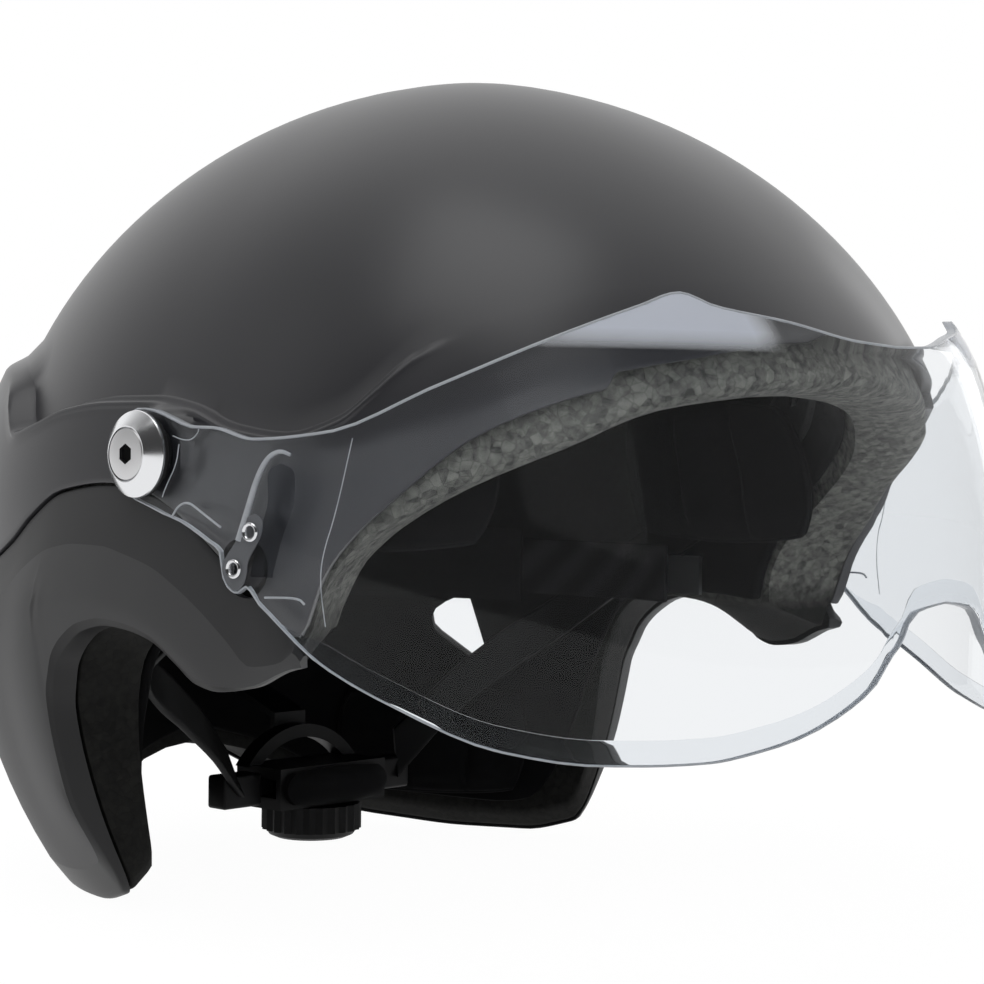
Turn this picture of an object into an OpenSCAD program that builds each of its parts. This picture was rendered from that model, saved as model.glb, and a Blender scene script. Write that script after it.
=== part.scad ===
// Commuter bicycle helmet with a clear flip-up visor, in millimetres.
// +Z is up, the wearer looks along -Y, and the wearer's right is -X.
// The origin is the middle of the head, on the level line between the ears.

/* [Dome] */
// Half width of the dome at its widest level
dome_half_w = 118; // [112:0.5:124]
// Reach of the dome ahead of its middle
dome_front = 147; // [142:0.5:152]
// Reach of the dome behind its middle
dome_rear = 144; // [139:0.5:149]
// Rise of the crown above the widest level
dome_rise = 126; // [120:0.5:132]
// How far the belt stands proud of the dome at the sides
belt_side = 3; // [2:0.25:4]
// How far the belt stands proud of the dome at the rear
belt_rear = 7; // [5:0.25:8]
// Wall of the upper and lower shells
shell_wall = 3; // [2:0.1:3.6]

/* [Foam and padding] */
// Wall of the foam over the crown and the sides
foam_wall = 19.4; // [18:0.2:21]
// Wall of the foam at the top of the rear lobes, without the belt's depth
foam_lobe_wall = 12.2; // [11:0.2:14]
// Wall of the foam at the foot of the rear lobes, without the belt's depth
foam_tip_wall = 1.6; // [1:0.2:4]
// Thickness of the fabric lining
lining_wall = 3; // [2:0.1:3.5]
// Crown thickness of the side pads
side_pad_t = 8; // [5:0.5:10]
// Crown thickness of the brow pad
front_pad_t = 7; // [5:0.5:9]
// Crown thickness of the top pad
crown_pad_t = 7; // [5:0.5:10]
// Crown thickness of the pads in the rear lobes
lobe_pad_t = 8; // [6:0.5:10]

/* [Visor] */
// Wall of the clear lens
lens_wall = 2.5; // [2:0.1:3]
// Gap between the lens and the belt at the pivots
lens_gap = 2; // [1.7:0.1:2.6]
// Extra reach of the lens ahead of the brow
lens_ahead = 0; // [0:0.25:3]
// Radius of the lens hole at each pivot
lens_hole_r = 5.2; // [4.6:0.1:6]

/* [Pivots] */
// Height of the pivot line over the origin
pivot_z = 1; // [-1:0.25:2]
// Place of the pivot line along the helmet, ahead of the origin when negative
pivot_y = -7.5; // [-9:0.25:-6]
// Radius of the polished cap
cap_r = 10.9; // [10:0.1:11.5]
// Thickness of the polished cap
cap_t = 4; // [3.6:0.1:5]
// Radius of the pivot screw's shank
screw_r = 3; // [2.5:0.1:3.4]
// Radius of the pivot screw's flat head
screw_head_r = 6.5; // [5.5:0.1:7]
// Thickness of each rubber washer
washer_t = 1.2; // [0.8:0.1:1.4]
// Length of the threaded insert in the foam
insert_len = 14; // [10:0.5:16]

/* [Headband] */
// Thickness of the headband
band_t = 2; // [1.6:0.1:2.4]
// Height of the headband
band_h = 15; // [12:0.5:17]
// Radius of the fit dial
dial_r = 15.5; // [14:0.5:18]
// Thickness of the fit dial
dial_t = 10.5; // [10:0.5:14]
// Number of grip ribs on the dial
dial_ribs = 24; // [18:1:30]
// Number of teeth on the pinion
pinion_teeth = 10; // [10:1:12]
// Gear module of the pinion and the racks
gear_module = 1; // [0.9:0.05:1.05]

/* [Chin strap] */
// Width of the webbing
strap_w = 18; // [15:0.5:20]
// Thickness of the webbing
strap_t = 1.6; // [1.2:0.1:2]
// Length of the buckle body
buckle_len = 36; // [33:1:40]
// Width of the buckle body
buckle_w = 25; // [23:0.5:28]

/* [Hidden] */

// Clearance between curved faces of neighbouring pieces
gap = 0.3;
// Clearance of the foam inside the shells, and of each fabric layer on the one behind it
foam_gap = 1;
fabric_gap = 1;
// Running clearance of a shaft in its hole
run = 0.2;
// Overlap that lets a cut pass right through a face
past = 1;

// Skin of the shells: levels are superellipses, the skirt curls in below the widest level
dome_y = 3;
wide_z = -16.5;
squareness = 2.27;
roundness = 1.9;
skirt_h = 130;
skirt_curl = 48;
skirt_power = 2.5;
// Height over which the step above the belt happens
step_h = 3.2;
// Angles over which the belt fades away towards the brow
belt_fade_from = 48;
belt_fade_over = 10;
// Where the rows of a dome start, just off the very crown
crown_start = 0.045;

// Outlines are rows of [angle from the front, height], the same on both sides
step_line = [
  [0, 46], [9, 45], [27.5, 41], [42.5, 33], [52, 25], [55.5, 18], [60, 10], [66.5, 6], [74, 8],
  [81, 13], [88.5, 15.3], [97, 15.4], [105, 14], [112.3, 10], [117.3, 7.8], [120.6, 13.3],
  [124, 21], [129, 26], [135, 28.5], [150, 31.5], [180, 34.5]
];
brow_line = [
  [0, 30.3], [9.4, 29.6], [14.9, 28], [22.6, 24.7], [29.7, 21.3], [33, 16.4], [39, 11.8],
  [45.5, 4.7], [52.6, -8.3], [58.6, -21.2], [61, -29], [62.9, -39.9], [63.8, -42.8]
];
seam_line = [
  [63.8, -42.8], [66.3, -38], [68.8, -33.7], [73.6, -25.9], [76.9, -20.2], [81, -13.5],
  [86, -8.8], [94.2, -6.3], [103.3, -8.4], [110, -15.2], [115.2, -22.2], [125, -30.5],
  [137, -36.5], [158, -39.5], [180, -40.5]
];
rim_line = [
  [61.8, -47.3], [62.6, -49.1], [65.7, -51.1], [70.4, -55.6], [74.6, -56.7], [77.8, -55.2],
  [80.7, -50.6], [84.5, -45.4], [88.8, -43.1], [92.3, -42.5], [96.7, -44.3], [99.9, -48.3],
  [102.5, -53.9], [103.8, -59.9], [104.9, -66.2], [105.4, -76], [105.8, -86], [106.4, -96],
  [107.2, -106], [108, -112.5], [109.5, -117.7], [111.5, -119.1], [120, -122.4],
  [132, -122.8], [145, -120.5], [154, -117], [161, -111], [167, -102], [173, -95.5],
  [180, -93.5]
];
crease_line = [
  [61.8, -43.5], [63.8, -45], [66.4, -48.9], [70.2, -50.1], [73.5, -43.9], [77, -37.4],
  [80.9, -31.6], [84.9, -27], [89.3, -24.3], [93.8, -22.3], [98.7, -22.1], [103.8, -23.5],
  [110, -29], [117, -38], [128, -47], [145, -53], [180, -56]
];
foam_brow_line = [
  [0, 17.8], [9.5, 16.9], [16.2, 15.3], [24.4, 12.3], [34.4, 3.4], [47.9, -9.2], [58.9, -24.1],
  [62.7, -35.9], [64.1, -44.6], [65, -47.6]
];
lining_edge = [
  [0, 22.5], [9.3, 21.7], [23.8, 16.7], [34.4, 8.2], [47.4, -4.3], [57.4, -18.2], [62.3, -32],
  [65, -41], [72.5, -40], [79.9, -39.5], [86.8, -38.5], [92.5, -38.1], [98.1, -42.9],
  [102.6, -52.3], [106.8, -68.3], [110.5, -88], [114, -103], [118, -110.5], [125, -112.5],
  [142, -111], [154, -105.5], [166, -94], [180, -86]
];

// Angles at which the rows of points stand, on one side
brow_angles = [0, 7, 14, 21, 27, 31, 36, 42, 48, 54, 58, 60.5, 62.8];
seam_angles = [
  65.3, 68.5, 72, 75.5, 79, 82.5, 86.5, 91.5, 96.5, 101.5, 106.5, 111, 114.5, 117.3, 120.5, 124,
  129, 135, 143, 152, 161, 170, 180
];
rim_angles = [
  63.5, 65, 67.5, 70.5, 73.5, 76.5, 79, 82, 85, 88.5, 92, 95.5, 98.5, 101, 102.7, 103.8, 104.7,
  105.3, 105.8, 106.4, 107.2, 108.5, 110.5, 115, 121, 129, 137, 145, 152, 157, 162, 167, 173, 180
];
foam_angles = [
  64.3, 66.5, 69.5, 73, 77, 80.5, 84.5, 89, 93, 97, 100, 102.2, 103.8, 104.7, 105.3, 105.8,
  106.4, 107.2, 108.5, 111, 114.5, 117.3, 120.5, 124, 129, 135, 143, 152, 161, 170, 180
];
lining_angles = [
  0, 8, 16, 24, 32, 40, 47, 53, 58, 62, 66, 71, 77, 83, 89, 95, 100, 103.5, 106.5, 109, 112,
  116, 122, 132, 142, 151, 160, 170, 180
];

// Small helpers
function clamp(x, low = 0, high = 1) = min(max(x, low), high);
function ease(x) = let (c = clamp(x)) c * c * (3 - 2 * c);
function mix(a, b, t) = a + (b - a) * t;
function row_at(rows, x, i = 0) =
  i >= len(rows) - 2 || x < rows[i + 1][0] ? i : row_at(rows, x, i + 1);
function rise(rows, i) = (rows[i + 1][1] - rows[i][1]) / (rows[i + 1][0] - rows[i][0]);
function slope(rows, i) =
  i == 0 ? rise(rows, 0)
  : i == len(rows) - 1 ? rise(rows, i - 1)
  : let (a = rise(rows, i - 1), b = rise(rows, i)) a * b <= 0 ? 0 : 2 * a * b / (a + b);
// Smooth line through rows of [x, value] that never overshoots them
function along(rows, x) =
  let (
    i = row_at(rows, x),
    h = rows[i + 1][0] - rows[i][0],
    t = clamp((x - rows[i][0]) / h),
    a = slope(rows, i) * h,
    b = slope(rows, i + 1) * h,
    u = rows[i][1],
    v = rows[i + 1][1]
  )
  u + t * (a + t * (3 * (v - u) - 2 * a - b + t * (2 * (u - v) + a + b)));
function unit(v) = v / norm(v);
// Angles of a closed ring, and of an open stretch, from those of one side
function ring(half) = concat([for (i = [len(half) - 2:-1:1]) -half[i]], half);
function stretch(half) =
  concat([for (i = [len(half) - 1:-1:0]) if (half[i] > 0) -half[i]], half);

// The skin: a point at an angle and a level, sunk in by a depth
function belt_at(th, z) =
  (belt_side + (belt_rear - belt_side) * clamp(0.3 - cos(th)))
  * ease((abs(th) - belt_fade_from) / belt_fade_over)
  * ease((along(step_line, abs(th)) - z) / step_h + 0.5);
function level_r(th, depth) =
  let (reach = (cos(th) > 0 ? dome_front : dome_rear) - depth)
  pow(
    pow(abs(sin(th)) / (dome_half_w - depth), squareness) + pow(abs(cos(th)) / reach, squareness),
    -1 / squareness
  );
function level_of(z, depth = 0) =
  z > wide_z
  ? acos(pow(clamp((z - wide_z) / (dome_rise - depth)), roundness / 2)) / 90
  : 1 + (wide_z - z) / skirt_h;
function skin(th, level, depth = 0, belt = 1) =
  let (
    up = 90 * min(level, 1),
    down = max(level - 1, 0),
    z = level < 1
      ? wide_z + (dome_rise - depth) * pow(cos(up), 2 / roundness)
      : wide_z - down * skirt_h,
    r = level_r(th, depth - belt * belt_at(th, z)),
    rho = level < 1 ? r * pow(sin(up), 2 / roundness) : r - skirt_curl * pow(down, skirt_power)
  )
  [-rho * sin(th), dome_y - rho * cos(th), z];
function skin_z(th, z, depth = 0, belt = 1) = skin(th, level_of(z, depth), depth, belt);

// Depths of the layers under the skin; the foam thins between heights on its way down
foam_out = shell_wall + foam_gap;
lobe_from = -30;
lobe_over = 30;
tip_from = -62;
tip_over = 60;
function foam_in(z) =
  foam_out
  + mix(foam_wall, foam_lobe_wall, ease((lobe_from - z) / lobe_over))
  - (foam_lobe_wall - foam_tip_wall) * clamp((tip_from - z) / tip_over);
function lining_out(z) = foam_in(z) + fabric_gap;
function lining_in(z) = lining_out(z) + lining_wall;

// A closed wall between two sheets of points with the same rows and columns
function quad(a, b, c, d, turn) = turn ? [[a, b, c], [a, c, d]] : [[a, c, b], [a, d, c]];
module wall(outer, inner, closed = false, capped = false) {
  n = len(outer);
  m = len(outer[0]);
  k = n * m;
  points = concat([for (c = outer) each c], [for (c = inner) each c]);
  spans = closed ? n : n - 1;
  faces = concat(
    [for (i = [0:spans - 1], j = [0:m - 2])
      let (p = i * m + j, q = ((i + 1) % n) * m + j)
      each quad(p, q, q + 1, p + 1, false)],
    [for (i = [0:spans - 1], j = [0:m - 2])
      let (p = k + i * m + j, q = k + ((i + 1) % n) * m + j)
      each quad(p, q, q + 1, p + 1, true)],
    [for (i = [0:spans - 1])
      let (p = i * m + m - 1, q = ((i + 1) % n) * m + m - 1)
      each quad(p, q, k + q, k + p, false)],
    capped ? [[for (i = [0:n - 1]) i * m], [for (i = [n - 1:-1:0]) k + i * m]]
    : [for (i = [0:spans - 1])
        let (p = i * m, q = ((i + 1) % n) * m)
        each quad(p, q, k + q, k + p, true)],
    closed ? []
    : concat(
        [for (j = [0:m - 2]) each quad(j, j + 1, k + j + 1, k + j, false)],
        [for (j = [0:m - 2])
          let (p = (n - 1) * m + j)
          each quad(p, p + 1, k + p + 1, k + p, true)]
      )
  );
  polyhedron(points = points, faces = faces, convexity = 10);
}

// Everything that is the same on both sides is drawn on the right and mirrored
module both_sides() {
  children();
  mirror([1, 0, 0]) children();
}
module on_pivot(x) {
  translate([-x, pivot_y, pivot_z]) rotate([0, -90, 0]) children();
}

// Distances from the middle to the faces stacked at each pivot, going outwards
boss_x = dome_half_w + belt_side + 0.2;
boss_back_x = boss_x - shell_wall - 0.6;
insert_flange_t = 1.2;
insert_top_x = boss_back_x - gap;
insert_foot_x = insert_top_x - insert_flange_t - insert_len;
washer_in_x = boss_x;
washer_in_r = 7.5;
washer_out_r = cap_r - 0.2;
lens_half_w = dome_half_w + belt_side + lens_gap;
sleeve_x = washer_in_x + washer_t;
lens_out_x = lens_half_w + lens_wall;
washer_out_x = lens_out_x + gap;
cap_x = washer_out_x + washer_t;
cap_top_x = cap_x + cap_t;
cap_edge = 1;
boss_r = cap_r + 0.6;
boss_low = -6.9;
insert_r = 5;
screw_head_t = 1.6;
screw_foot_x = insert_foot_x + 2;
socket_r = 2.6;
socket_depth = 1.3;

// The latch sits under the visor's lower eyelet
latch_r = 6.5;
magnet_r = 5;
magnet_t = 2;
eyelet_low = [76, -26.7];
eyelet_high = [73.7, -17.4];
eyelet_r = 2.9;
eyelet_hole_r = 1.5;
eyelet_hole_in_lens = 2.1;

// Rear vents
vent_angle = 133.3;
vent_mid_z = -56.5;
vent_from = 60;
vent_reach = dome_rear;
vent_shape = [
  [-3, 13.5], [4.5, 10], [8, 7.5], [9.3, 4.5], [8.6, 0.5], [6, -2], [-9.5, -13], [-11, -12.5],
  [-10.6, -10.5]
];
module vents() {
  for (side = [-1, 1])
    translate([0, dome_y, 0])
      rotate([0, 0, -90 - side * vent_angle])
        translate([vent_from, 0, 0])
          rotate([90, 0, 90])
            linear_extrude(height = vent_reach)
              polygon([
                for (p = vent_shape) [side * p[0], vent_mid_z + p[1]]
              ]);
}

// Upper shell with the belt and the flat bosses of the pivots
lobe_tip = 63.8;
function shell_edge(th) =
  abs(th) < lobe_tip ? along(brow_line, abs(th)) : along(seam_line, abs(th));
dome_rows = 8;
belt_rows = 3;
function shell_rows(th, depth) =
  let (
    step = along(step_line, abs(th)),
    top = level_of(step + step_h / 2, depth),
    foot = level_of(step - step_h / 2, depth),
    edge = level_of(shell_edge(th), depth)
  )
  concat(
    [for (k = [0:dome_rows]) mix(crown_start, top, pow(k / dome_rows, 0.9))],
    [for (k = [0:belt_rows]) mix(foot, edge, k / belt_rows)]
  );
function shell_sheet(depth) =
  [for (th = ring(concat(brow_angles, seam_angles)))
    [for (level = shell_rows(th, depth)) skin(th, level, depth)]];
module latch_cut() {
  both_sides()
    at_latch()
      translate([0, 0, -latch_cut_h / 2])
        cylinder(r = latch_r, h = latch_cut_h, $fn = 48);
}
module upper_shell() {
  color("#4b4d50")
    difference() {
      union() {
        wall(shell_sheet(0), shell_sheet(shell_wall), closed = true, capped = true);
        both_sides()
          on_pivot(boss_back_x)
            intersection() {
              cylinder(r = boss_r, h = boss_x - boss_back_x, $fn = 64);
              translate([boss_low, -boss_r, -past]) cube([30, 2 * boss_r, 10]);
            }
      }
      both_sides() on_pivot(boss_x) cylinder(r = boss_r, h = 5, $fn = 64);
      both_sides() on_pivot(boss_back_x - 8) cylinder(r = insert_r + gap, h = 8, $fn = 48);
      both_sides() on_pivot(boss_x - 12) cylinder(r = screw_r + run, h = 20, $fn = 40);
      latch_cut();
    }
}

// Lower shell, with a ridge between its upper slope and its lower slope
wing_sink = 0.8;
wing_ridge = 1.6;
ridge_room = 1.2;
seam_gap = 0.5;
wing_tip = 65.3;
// Below the ridge the wing flares out round the ear, which fades to the rear and at its foot
flare = 4;
flare_drop = 14;
flare_to = 106;
flare_fade = 16;
flare_low = -88;
flare_low_fade = 28;
function flare_at(a, z, ridge) =
  flare * clamp((ridge - z) / flare_drop) * (1 - ease((a - flare_to) / flare_fade))
  * (1 - ease((flare_low - z) / flare_low_fade));
function wing_sheet(extra) =
  [for (th = [for (i = [0:2 * len(rim_angles) - 2]) ring_open(i)])
    let (
      a = abs(th),
      top = along(seam_line, a) - seam_gap - 2 * max(wing_tip - a, 0),
      foot = along(rim_line, a),
      ridge = clamp(along(crease_line, a), foot + ridge_room, top - ridge_room)
    )
    [for (row = [
        [top, wing_sink], [mix(top, ridge, 0.6), mix(wing_sink, -wing_ridge, 0.55)],
        [ridge, -wing_ridge], [mix(ridge, foot, 0.5), -wing_ridge * 0.7],
        [mix(ridge, foot, 0.9), -wing_ridge * 0.3], [foot, wing_sink]
      ])
      skin_z(th, row[0], extra > 0 ? shell_wall : row[1] - flare_at(a, row[0], ridge))]];
// Angles run from the right tip round the back to the left tip
function ring_open(i) =
  let (last = len(rim_angles) - 1)
  i <= last ? rim_angles[i] : -rim_angles[2 * last - i];
module lower_shell() {
  color("#474747")
    difference() {
      wall(wing_sheet(0), wing_sheet(1));
      latch_cut();
      vents();
    }
}

// Foam liner: fills both shells and shows as a rounded lip under the brow
brow_end = 64;
foam_set_back = 0.8;
lip_depth = 5;
// How much higher the foam's inner edge stands at the foot of the lobes
foot_lift = 6;
foot_from = -90;
foot_over = 25;
// Lowest height of the foam's inner edge in the front lobes, and the angle where they end
front_lobe_low = -42;
front_lobe_to = 93;
function foam_inner_edge(th) =
  let (edge = foam_edge(th))
  abs(th) < front_lobe_to ? max(edge, front_lobe_low)
  : edge + foot_lift * ease((foot_from - edge) / foot_over);
function foam_edge(th) =
  let (a = abs(th))
  a < brow_end ? along(foam_brow_line, a) : along(rim_line, a) + foam_set_back;
function foam_outer_edge(th) =
  abs(th) < brow_end
  ? min(shell_edge(th) - 1.5, mix(shell_edge(th), foam_edge(th), 0.5))
  : foam_edge(th);
foam_skirt_rows = 3;
foam_rows = dome_rows + foam_skirt_rows + 2;
function foam_out_column(th) =
  let (
    step = along(step_line, abs(th)),
    top = level_of(step + step_h / 2, foam_out),
    foot = level_of(step - step_h / 2, foam_out),
    edge = level_of(foam_outer_edge(th), foam_out),
    front_lip = mix(foam_outer_edge(th), foam_edge(th), 0.8),
    lip = abs(th) < brow_end ? front_lip : mix(foam_edge(th), foam_inner_edge(th), 0.1)
  )
  concat(
    [for (k = [0:dome_rows])
      skin(th, mix(crown_start, top, pow(k / dome_rows, 0.9)), foam_out)],
    [for (k = [0:foam_skirt_rows]) skin(th, mix(foot, edge, k / foam_skirt_rows), foam_out)],
    [skin_z(th, lip, foam_out + lip_depth)]
  );
// Height of a level, for the layers whose depth changes with height
function height_of(level) = level < 1 ? 0 : wide_z - (level - 1) * skirt_h;
function foam_in_column(th) =
  let (edge = level_of(foam_inner_edge(th), foam_in(foam_inner_edge(th))))
  [for (k = [0:foam_rows])
    let (level = mix(crown_start, edge, pow(k / foam_rows, 0.9)))
    skin(th, level, foam_in(height_of(level)), 0)];
foam_ring = ring(concat(brow_angles, foam_angles));
module eps_liner() {
  color("#5e5e5a")
    difference() {
      wall(
        [for (th = foam_ring) foam_out_column(th)],
        [for (th = foam_ring) foam_in_column(th)],
        closed = true, capped = true
      );
      both_sides()
        on_pivot(insert_foot_x - gap)
          cylinder(r = insert_r + run, h = 40, $fn = 40);
      both_sides() on_pivot(boss_back_x - gap) cylinder(r = boss_r + gap, h = 20, $fn = 48);
      both_sides()
        at_latch()
          translate([0, 0, -magnet_t - gap])
            cylinder(r = magnet_r + gap, h = 12, $fn = 48);
      vents();
      pin_holes();
    }
}

// Fabric lining over the whole of the foam's inside
lining_rows = 12;
function lining_column(th, inside) =
  let (edge = level_of(along(lining_edge, abs(th)), foam_out + foam_wall))
  [for (k = [0:lining_rows])
    let (
      level = mix(crown_start, edge, pow(k / lining_rows, 0.9)),
      z = height_of(level)
    )
    skin(th, level, inside ? lining_in(z) : lining_out(z), 0)];
module comfort_lining() {
  color("#1c1c1e")
    difference() {
      wall(
        [for (th = ring(lining_angles)) lining_column(th, false)],
        [for (th = ring(lining_angles)) lining_column(th, true)],
        closed = true, capped = true
      );
      vents();
      pin_holes();
    }
}

// Headband depth: it lies on the lining at the brow and leaves it behind the ears
band_line = [
  [0, 32], [27, 28], [47, 13], [64, -3], [80, -19], [93, -30], [106, -43], [120, -58],
  [135, -75], [144, -86], [150, -93]
];
band_slack = 1.2;
band_depth_line = [
  [0, 0], [111, 0], [118, 4.5], [125, 13], [132, 22], [141, 32], [150, 37.6]
];
function band_depth(th, z) =
  lining_in(z + band_h / 2) + band_slack + along(band_depth_line, abs(th));
band_in_depth = lining_in(0) + band_slack + band_t;

// A crowned pad on the wall of the helmet, its outline a rounded rectangle with waisted sides
pad_cols = 10;
pad_rows = 7;
pad_round = 0.62;
pad_waist = 0.05;
pad_edge_t = 0.35;
function pad_point(mid, half, back, crown, a, b, inside) =
  let (
    x = a * sqrt(1 - pad_round * b * b / 2) * (1 - pad_waist * (1 - b * b)),
    y = b * sqrt(1 - pad_round * a * a / 2) * (1 - pad_waist * (1 - a * a)),
    z = mid[1] - half[1] * y,
    puff = (1 - pow(a, 4)) * (1 - pow(b, 4)),
    depth = (back < 0 ? lining_in(z) + fabric_gap : back)
      + (inside ? crown * mix(pad_edge_t, 1, puff) : 0)
  )
  skin_z(mid[0] + half[0] * x, z, depth, 0);
function pad_sheet(mid, half, back, crown, inside) =
  [for (i = [0:pad_cols])
    [for (j = [0:pad_rows])
      pad_point(mid, half, back, crown, 2 * i / pad_cols - 1, 2 * j / pad_rows - 1, inside)]];
module pad(mid, half, back, crown) {
  wall(
    pad_sheet(mid, half, back, crown, false),
    pad_sheet(mid, half, back, crown, true)
  );
}
pad_back = band_in_depth + 2 * gap;
module pad_front() {
  color("#19191b") pad([0, 32], [33, 12], pad_back, front_pad_t);
}
module side_pad() {
  pad([67, -1.5], [27, 22], pad_back, side_pad_t);
}
module pad_side_right() {
  color("#19191b") side_pad();
}
module pad_side_left() {
  color("#19191b") mirror([1, 0, 0]) side_pad();
}
module lobe_pad() {
  difference() {
    pad([137, -92.5], [18, 18], -1, lobe_pad_t);
    vents();
  }
}
module pad_lobe_right() {
  color("#161618") lobe_pad();
}
module pad_lobe_left() {
  color("#161618") mirror([1, 0, 0]) lobe_pad();
}
// The top pad is a crowned disc with a raised rim, hung under the crown
crown_pad_level = 0.34;
crown_pad_cols = 20;
module pad_crown() {
  back = lining_in(0) + fabric_gap;
  function column(th, inside) =
    [for (k = [0:4])
      let (
        s = mix(0.1, 1, k / 4),
        t = inside ? crown_pad_t * mix(1, pad_edge_t, pow(s, 4)) : 0
      )
      skin(th, crown_pad_level * s, back + t, 0)];
  color("#19191b")
    wall(
      [for (i = [0:crown_pad_cols - 1]) column(i * 360 / crown_pad_cols, false)],
      [for (i = [0:crown_pad_cols - 1]) column(i * 360 / crown_pad_cols, true)],
      closed = true, capped = true
    );
}

// Visor: a superellipse in plan about the pivot line, with its own reach at each height
lens_bend = 2.2;
lens_reach = [
  [-75, 160], [-34, 158], [0, 152.5], [15, 148.5], [30, 142.5], [40, 134.5], [46, 128]
];
lens_top = [
  [0, 29.8], [6.6, 30.5], [15.6, 34.3], [23.6, 37.1], [27.3, 40.2], [31.9, 36.8], [40, 29.6],
  [52.2, 17.4], [63.7, 6.7], [72.8, 5], [78.7, 7.8], [81.8, 8], [85, 10], [88, 12],
  [90.5, 12.6], [92.8, 11], [94.6, 7.5], [95.6, 2]
];
lens_foot = [
  [0, -33.3], [2, -33.8], [5.2, -35.6], [7.2, -42.6], [8.5, -45.5], [10.5, -51.6],
  [13.3, -56.5], [18.5, -62.8], [22.4, -65.7], [27.5, -68.2], [33.3, -68.8], [36.9, -68.8],
  [45.6, -66.2], [55.9, -57.1], [64.5, -47.5], [70.5, -37], [72.3, -33.8], [73.8, -30.5],
  [74.8, -31.2], [76.1, -32.2], [77.4, -30.9], [78.7, -27], [79, -22.3], [84, -15.2],
  [86.3, -13.9], [88.5, -12.3], [90.8, -10.8], [92.8, -9], [94.6, -5.5], [95.6, 0]
];
lens_angles = [
  0, 3, 6, 7.5, 9, 12, 15, 19, 23, 25.5, 27.3, 29.5, 33, 38, 43, 48, 53, 58, 63, 67, 70.5, 73,
  74.2, 75.2, 76.2, 77.4, 78.6, 79.4, 82, 85, 88, 91, 93, 94.8, 95.5
];
lens_rows = 7;
function lens_point(th, z, out) =
  let (
    reach = along(lens_reach, z) + lens_ahead + pivot_y + out,
    across = pow(abs(sin(th)) / (lens_half_w + out), lens_bend),
    ahead = pow(abs(cos(th)) / reach, lens_bend),
    r = pow(across + ahead, -1 / lens_bend)
  )
  [-r * sin(th), pivot_y - r * cos(th), z];
function lens_sheet(out) =
  [for (th = stretch(lens_angles))
    let (top = along(lens_top, abs(th)), foot = along(lens_foot, abs(th)))
    [for (k = [0:lens_rows]) lens_point(th, mix(top, foot, k / lens_rows), out)]];
// Turns a child's +Z to face straight out of the lens at an angle and height
module on_lens(spot) {
  p = lens_point(spot[0], spot[1], 0);
  side = lens_point(spot[0] + 1, spot[1], 0) - lens_point(spot[0] - 1, spot[1], 0);
  drop = lens_point(spot[0], spot[1] - 1, 0) - lens_point(spot[0], spot[1] + 1, 0);
  out = unit(cross(side, drop));
  turn = atan2(out[1], out[0]);
  tilt = acos(out[2]);
  translate(p) rotate([0, tilt, turn]) children();
}
module visor_lens() {
  color("#d9dde0", 0.35)
    difference() {
      wall(lens_sheet(lens_wall), lens_sheet(0));
      both_sides() on_pivot(lens_half_w - 10) cylinder(r = lens_hole_r, h = 20, $fn = 64);
      both_sides()
        for (spot = [eyelet_low, eyelet_high])
          on_lens(spot)
            translate([0, 0, -past - 1])
              cylinder(r = eyelet_hole_in_lens, h = lens_wall + 4, $fn = 32);
    }
}
// Pressed rings in the lens: a collar through the hole and a rolled flange outside
module eyelet() {
  translate([0, 0, lens_wall + 0.25])
    rotate_extrude($fn = 32)
      polygon([
        [eyelet_hole_r, -lens_wall - 0.1], [eyelet_hole_in_lens - 0.1, -lens_wall - 0.1],
        [eyelet_hole_in_lens - 0.1, 0], [eyelet_r, 0], [eyelet_r, 0.5], [eyelet_r - 0.5, 1],
        [eyelet_hole_r + 0.3, 1], [eyelet_hole_r, 0.7]
      ]);
}
module visor_eyelets() {
  color("#c9cbce")
    both_sides()
      for (spot = [eyelet_low, eyelet_high])
        on_lens(spot) eyelet();
}

// Pivot hardware, stacked outwards from the foam on each side
module visor_bushings() {
  color("#2a2a2c")
    both_sides()
      on_pivot(sleeve_x)
        difference() {
          cylinder(r = lens_hole_r - run, h = washer_out_x - sleeve_x, $fn = 48);
          translate([0, 0, -past])
            cylinder(r = screw_r + run, h = washer_out_x - sleeve_x + 2 * past, $fn = 48);
        }
}
module washer(r) {
  difference() {
    cylinder(r = r, h = washer_t, $fn = 64);
    translate([0, 0, -past]) cylinder(r = screw_r + run, h = washer_t + 2 * past, $fn = 48);
  }
}
module pivot_washers_inner() {
  color("#151516") both_sides() on_pivot(washer_in_x) washer(washer_in_r);
}
module pivot_washers_outer() {
  color("#151516") both_sides() on_pivot(washer_out_x) washer(washer_out_r);
}
module pivot_caps() {
  color("#d6d7d9")
    both_sides()
      on_pivot(cap_x)
        rotate_extrude($fn = 96)
          polygon([
            [screw_r + run, 0], [cap_r, 0], [cap_r, cap_edge], [screw_head_r + 0.5, cap_t],
            [screw_head_r + run, cap_t], [screw_head_r + run, cap_t - screw_head_t],
            [screw_r + run, cap_t - screw_head_t]
          ]);
}
module pivot_screws() {
  shank = cap_top_x - screw_head_t - screw_foot_x;
  color("#c4c5c8")
    both_sides()
      on_pivot(cap_top_x)
        difference() {
          union() {
            translate([0, 0, -screw_head_t]) cylinder(r = screw_head_r, h = screw_head_t, $fn = 64);
            translate([0, 0, -screw_head_t - shank])
              cylinder(r = screw_r, h = shank + screw_head_t / 2, $fn = 48);
          }
          translate([0, 0, -socket_depth]) cylinder(r = socket_r, h = socket_depth + past, $fn = 6);
        }
}
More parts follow.
